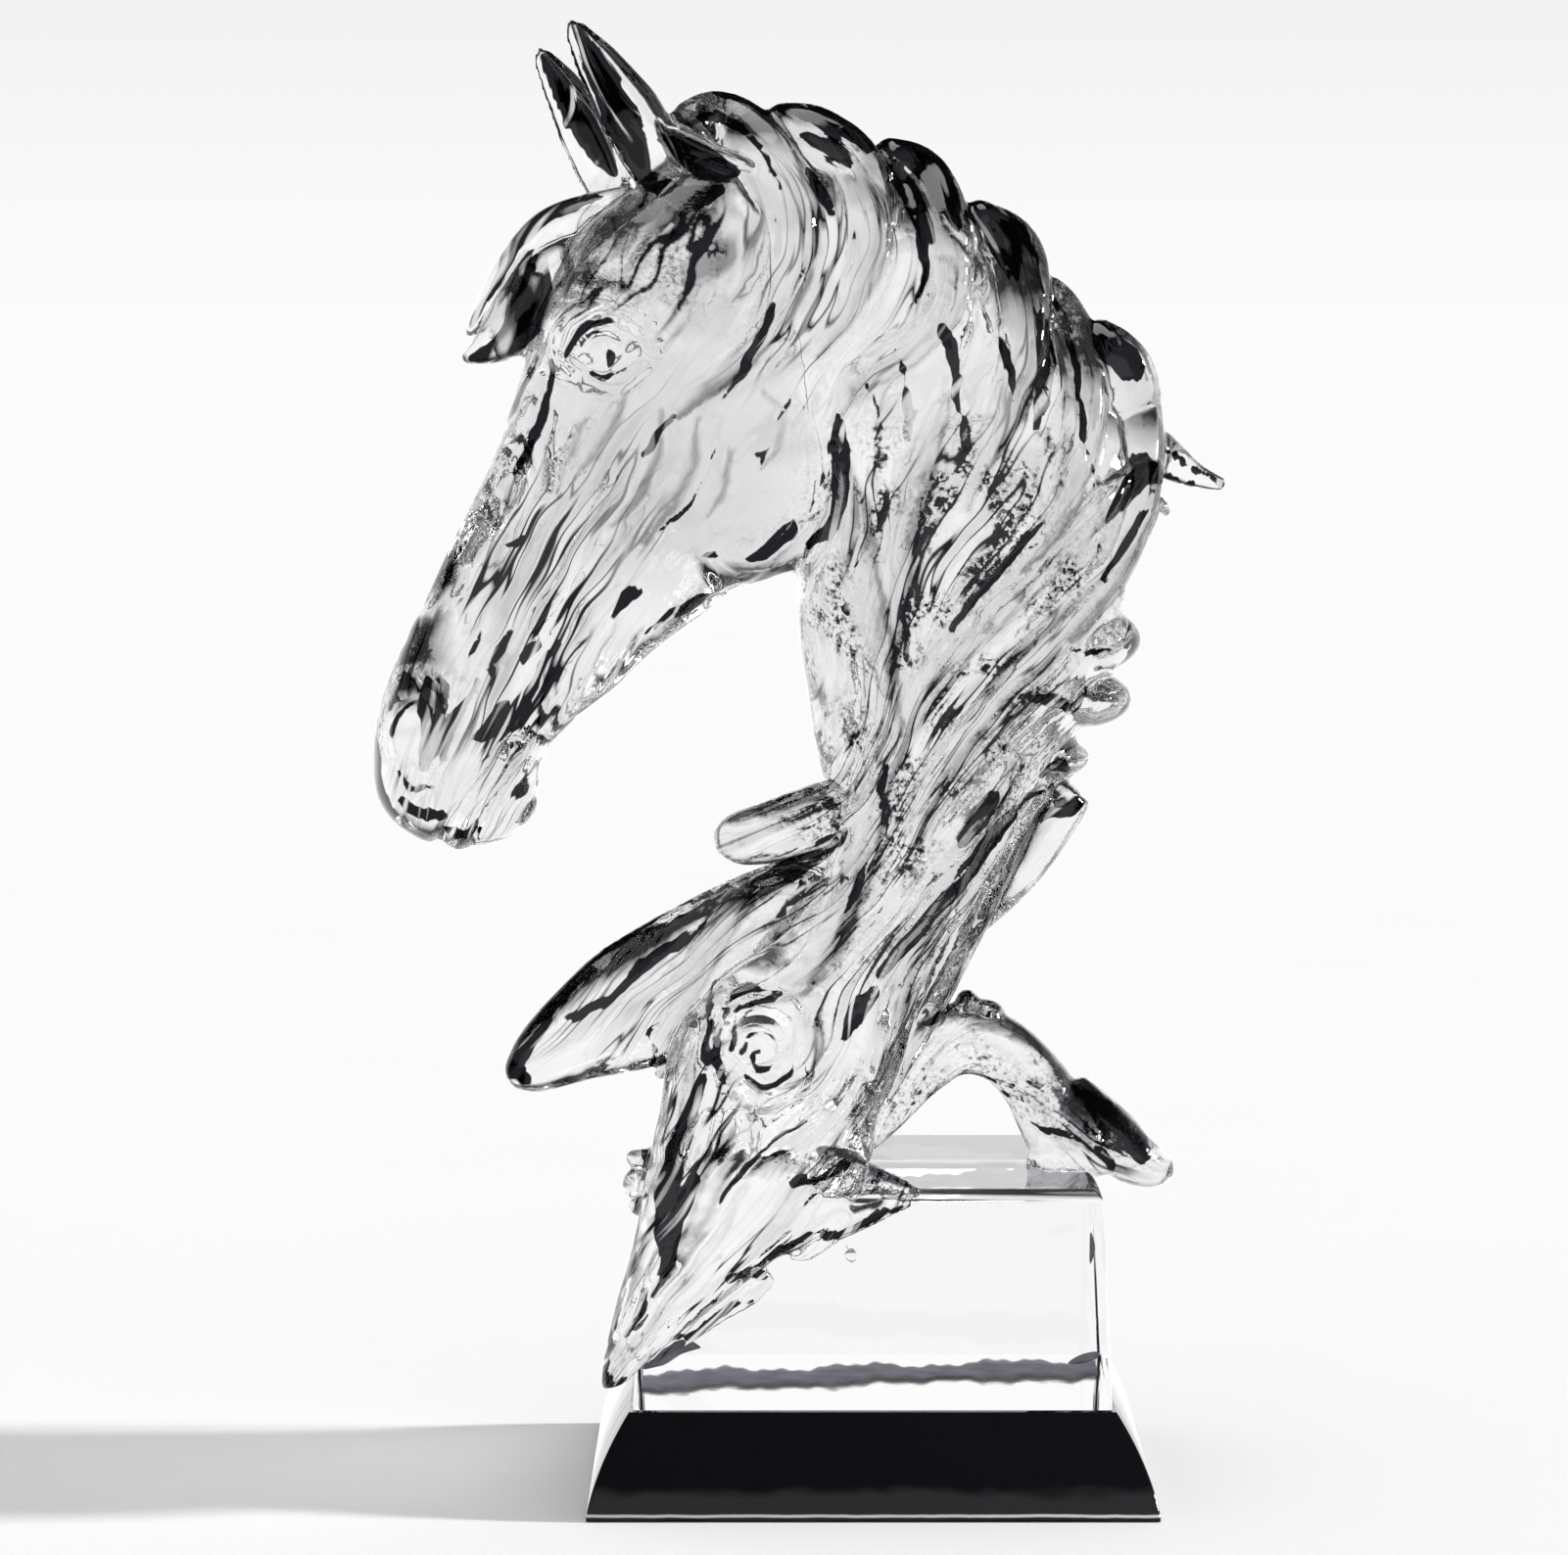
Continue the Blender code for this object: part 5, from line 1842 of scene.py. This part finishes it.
@dataclass(frozen=True)
class SmokyFilm:
    """The thin film of the pour line, which lets a little light through and frays at its edges."""

    name: str = "smoky_film"
    roughness: float = 0.5
    body_share: float = 0.7
    fray_share: float = 0.5
    fray_scale: float = 260.0
    cloud_scale: float = 140.0
    cover: Rows = ((0.3, 0), (0.6, 0.66), (1.0, 0.9))
    clouds: Rows = ((0.3, 0.055, 0.045, 0.08), (0.7, 0.2, 0.175, 0.26))

    def make(self) -> bpy.types.Material:
        """Makes the material.

        Returns:
            The material.
        """
        nodes = Finish(self.name)
        nodes.set("Roughness", self.roughness)
        fray = nodes.noise(self.fray_scale, 4.0)
        cover = nodes.total((nodes.attribute("body"), self.body_share), (fray, self.fray_share))
        nodes.drive("Alpha", nodes.mask(cover, *self.cover))
        nodes.drive("Base Color", nodes.ramp(nodes.noise(self.cloud_scale), self.clouds))
        return nodes.material


@dataclass(frozen=True)
class Glow:
    """A patch of light around the object: its strength by height, and its share by depth."""

    by_height: Rows
    by_depth: Rows = ((-1.0, 1.0), (1.0, 1.0))


class Sky(Nodes):
    """The light all round: pale for the eye, even for the floor, and in bands for the resin to bend."""

    def __init__(self, world: bpy.types.World) -> None:
        """Empties the world's nodes and finds the way that each ray goes.

        Args:
            world: The world.
        """
        world.use_nodes = True
        world.node_tree.nodes.clear()
        super().__init__(world.node_tree)
        split = self.add("ShaderNodeSeparateXYZ")
        self.feed(split, self.place.node.outputs["Generated"])
        self.depth, self.height = split.outputs["Y"], split.outputs["Z"]

    def background(self, colour: object, strength: float = 1.0) -> bpy.types.ShaderNode:
        """Adds a background.

        Args:
            colour: Its colour, plain or a socket.
            strength: Its strength.

        Returns:
            The background's node.
        """
        node = self.add("ShaderNodeBackground")
        self.feed(node, colour, strength)
        return node

    def mix(self, factor: bpy.types.NodeSocket, first: object, second: object) -> bpy.types.ShaderNode:
        """Mixes two backgrounds.

        Args:
            factor: How much of the second is taken.
            first: The first one's node.
            second: The second one's node.

        Returns:
            The mix's node.
        """
        node = self.add("ShaderNodeMixShader")
        self.feed(node, factor, first.outputs[0], second.outputs[0])
        return node

    def vector(self, operation: str, *values: object) -> bpy.types.NodeSocket:
        """Works on vectors.

        Args:
            operation: The operation's name.
            values: What it works on, each a plain vector or a socket.

        Returns:
            The result.
        """
        node = self.add("ShaderNodeVectorMath")
        node.operation = operation
        return self.feed(node, *values)

    def grey(self, source: bpy.types.NodeSocket, stops: Rows) -> bpy.types.NodeSocket:
        """Turns a value into a grey, which may be brighter than 1.

        Args:
            source: The value.
            stops: Positions on it, each with its grey.

        Returns:
            The grey.
        """
        low, high = stops[0][0], stops[-1][0]
        most = max(value for _, value in stops)
        span = self.add("ShaderNodeMapRange", From_Min=low, From_Max=high)
        self.link(source, span.inputs["Value"])
        shares = [((position - low) / (high - low), value / most) for position, value in stops]
        return self.vector("MULTIPLY", self.mask(span.outputs["Result"], *shares), (most, most, most))

    def lit(self, glows: tuple[Glow, ...]) -> bpy.types.ShaderNode:
        """Adds a background with glows in it.

        Args:
            glows: The glows.

        Returns:
            The background's node.
        """
        total = (0.0, 0.0, 0.0)
        for glow in glows:
            strength, share = self.grey(self.height, glow.by_height), self.grey(self.depth, glow.by_depth)
            total = self.vector("MULTIPLY_ADD", strength, share, total)
        return self.background(total)


@dataclass
class Studio:
    """The pale floor, the light all round and the camera."""

    camera_place: tuple[float, float, float] = (-0.0222, -1.5, 0.316)
    camera_pitch: float = math.radians(5.17)
    pixels_per_radian: float = 6000.0
    picture_pixels: float = 1601.0
    sensor: float = 36.0
    far_end: float = 50.0
    floor_size: float = 30.0
    floor_gap: float = 0.0001
    floor_patches: Rows = ((0.3, 0.925, 0.925, 0.93), (0.7, 0.935, 0.935, 0.94))
    floor_scale: float = 6.0
    backdrop: Rows = ((0, 0.96), (0.045, 0.88))
    bent: tuple[Glow, ...] = (
        Glow((
            (-1, 0.04), (-0.52, 0.04), (-0.42, 0.6), (-0.32, 1.02), (-0.2, 0.94), (-0.165, 0.86),
            (-0.12, 0.9), (-0.07, 1.0), (0.46, 1.02), (0.56, 0.6), (0.66, 0.04), (0.91, 0.04),
            (0.94, 5.0), (1, 5.0),
        )),
    )
    mirrored: tuple[Glow, ...] = (
        Glow(
            ((-1, 0.0), (-0.16, 0.0), (-0.08, 0.5), (0.40, 0.5), (0.50, 0.0)),
            ((-1, 1.0), (-0.72, 1.0), (-0.52, 0.0)),
        ),
        Glow(((-1, 0.0), (-0.5, 1.38), (0.24, 1.38), (0.5, 0.0)), ((0.05, 0.0), (0.3, 1.0))),
        Glow(((0.91, 0.015), (0.94, 4.0))),
    )
    dome: float = 0.62
    sun: float = 4.6
    sun_angle: float = math.radians(7)
    sun_way: tuple[float, float, float] = (-1.0, 0.02, -0.3)

    def _camera(self) -> None:
        """Sets the camera at the photograph's viewing angle."""
        data = bpy.data.cameras.new("camera")
        data.sensor_width = self.sensor
        data.lens = self.sensor * self.pixels_per_radian / self.picture_pixels
        data.clip_end = self.far_end
        camera = bpy.data.objects.new("camera", data)
        camera.location = self.camera_place
        camera.rotation_euler = (math.pi / 2 - self.camera_pitch, 0, 0)
        bpy.context.scene.collection.objects.link(camera)
        bpy.context.scene.camera = camera

    def _floor(self) -> None:
        """Lays a wide pale floor. The resin finds the light's glows in its place."""
        bm = bmesh.new()
        bmesh.ops.create_grid(bm, x_segments=1, y_segments=1, size=self.floor_size)
        bmesh.ops.translate(bm, vec=(0, 0, -self.floor_gap), verts=bm.verts)
        floor = new_object("floor", bm)
        nodes = Finish("pale_floor")
        nodes.set("Roughness", 0.8)
        nodes.set("Specular IOR Level", 0.0)
        nodes.drive("Base Color", nodes.ramp(nodes.noise(self.floor_scale), self.floor_patches))
        floor.data.materials.append(nodes.material)
        floor.visible_transmission = False
        floor.visible_glossy = False

    def _sun(self) -> None:
        """A low sun from the right, which throws the shadow to the left."""
        data = bpy.data.lights.new("sun", "SUN")
        data.energy = self.sun
        data.angle = self.sun_angle
        light = bpy.data.objects.new("sun", data)
        light.rotation_mode = "QUATERNION"
        light.rotation_quaternion = Vector(self.sun_way).to_track_quat("-Z", "Y")
        bpy.context.scene.collection.objects.link(light)

    def _world(self) -> None:
        """Sets the sky, which differs for the eye, for mirrored and bent rays and for all others."""
        world = bpy.data.worlds.new("studio")
        bpy.context.scene.world = world
        sky = Sky(world)
        white = (1.0, 1.0, 1.0, 1.0)
        kind = sky.add("ShaderNodeLightPath").outputs
        plain = sky.background(white, self.dome)
        glancing = sky.mix(kind["Is Glossy Ray"], plain, sky.lit(self.mirrored))
        through = sky.mix(kind["Is Transmission Ray"], glancing, sky.lit(self.bent))
        seen = sky.background(sky.grey(sky.height, self.backdrop))
        eye = sky.mix(kind["Is Camera Ray"], through, seen)
        sky.link(eye.outputs[0], sky.add("ShaderNodeOutputWorld").inputs["Surface"])

    def build(self) -> None:
        """Sets up the studio."""
        self._camera()
        self._floor()
        self._sun()
        self._world()
        bpy.context.scene.view_settings.view_transform = "Standard"


def main() -> None:
    """Builds every piece in order and reports it."""
    logging.basicConfig(level=logging.INFO, format="%(name)s: %(message)s")
    low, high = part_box(CASTING_NODE)
    fit = Fit(unit=(high.z - low.z) / DRAWN_RISE, low=low.z)
    Studio().build()
    finish_piece(Casting(fit, Figure()).build(), ClearResin().make(), Slot.CLEAR, CASTING_NODE)
    finish_piece(Foot(*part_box(FOOT_NODE)).build(), BlackResin().make(), Slot.BLACK, FOOT_NODE)
    finish_piece(PourLine(fit).build(), SmokyFilm().make(), Slot.BLACK)


if __name__ == "__main__":
    main()
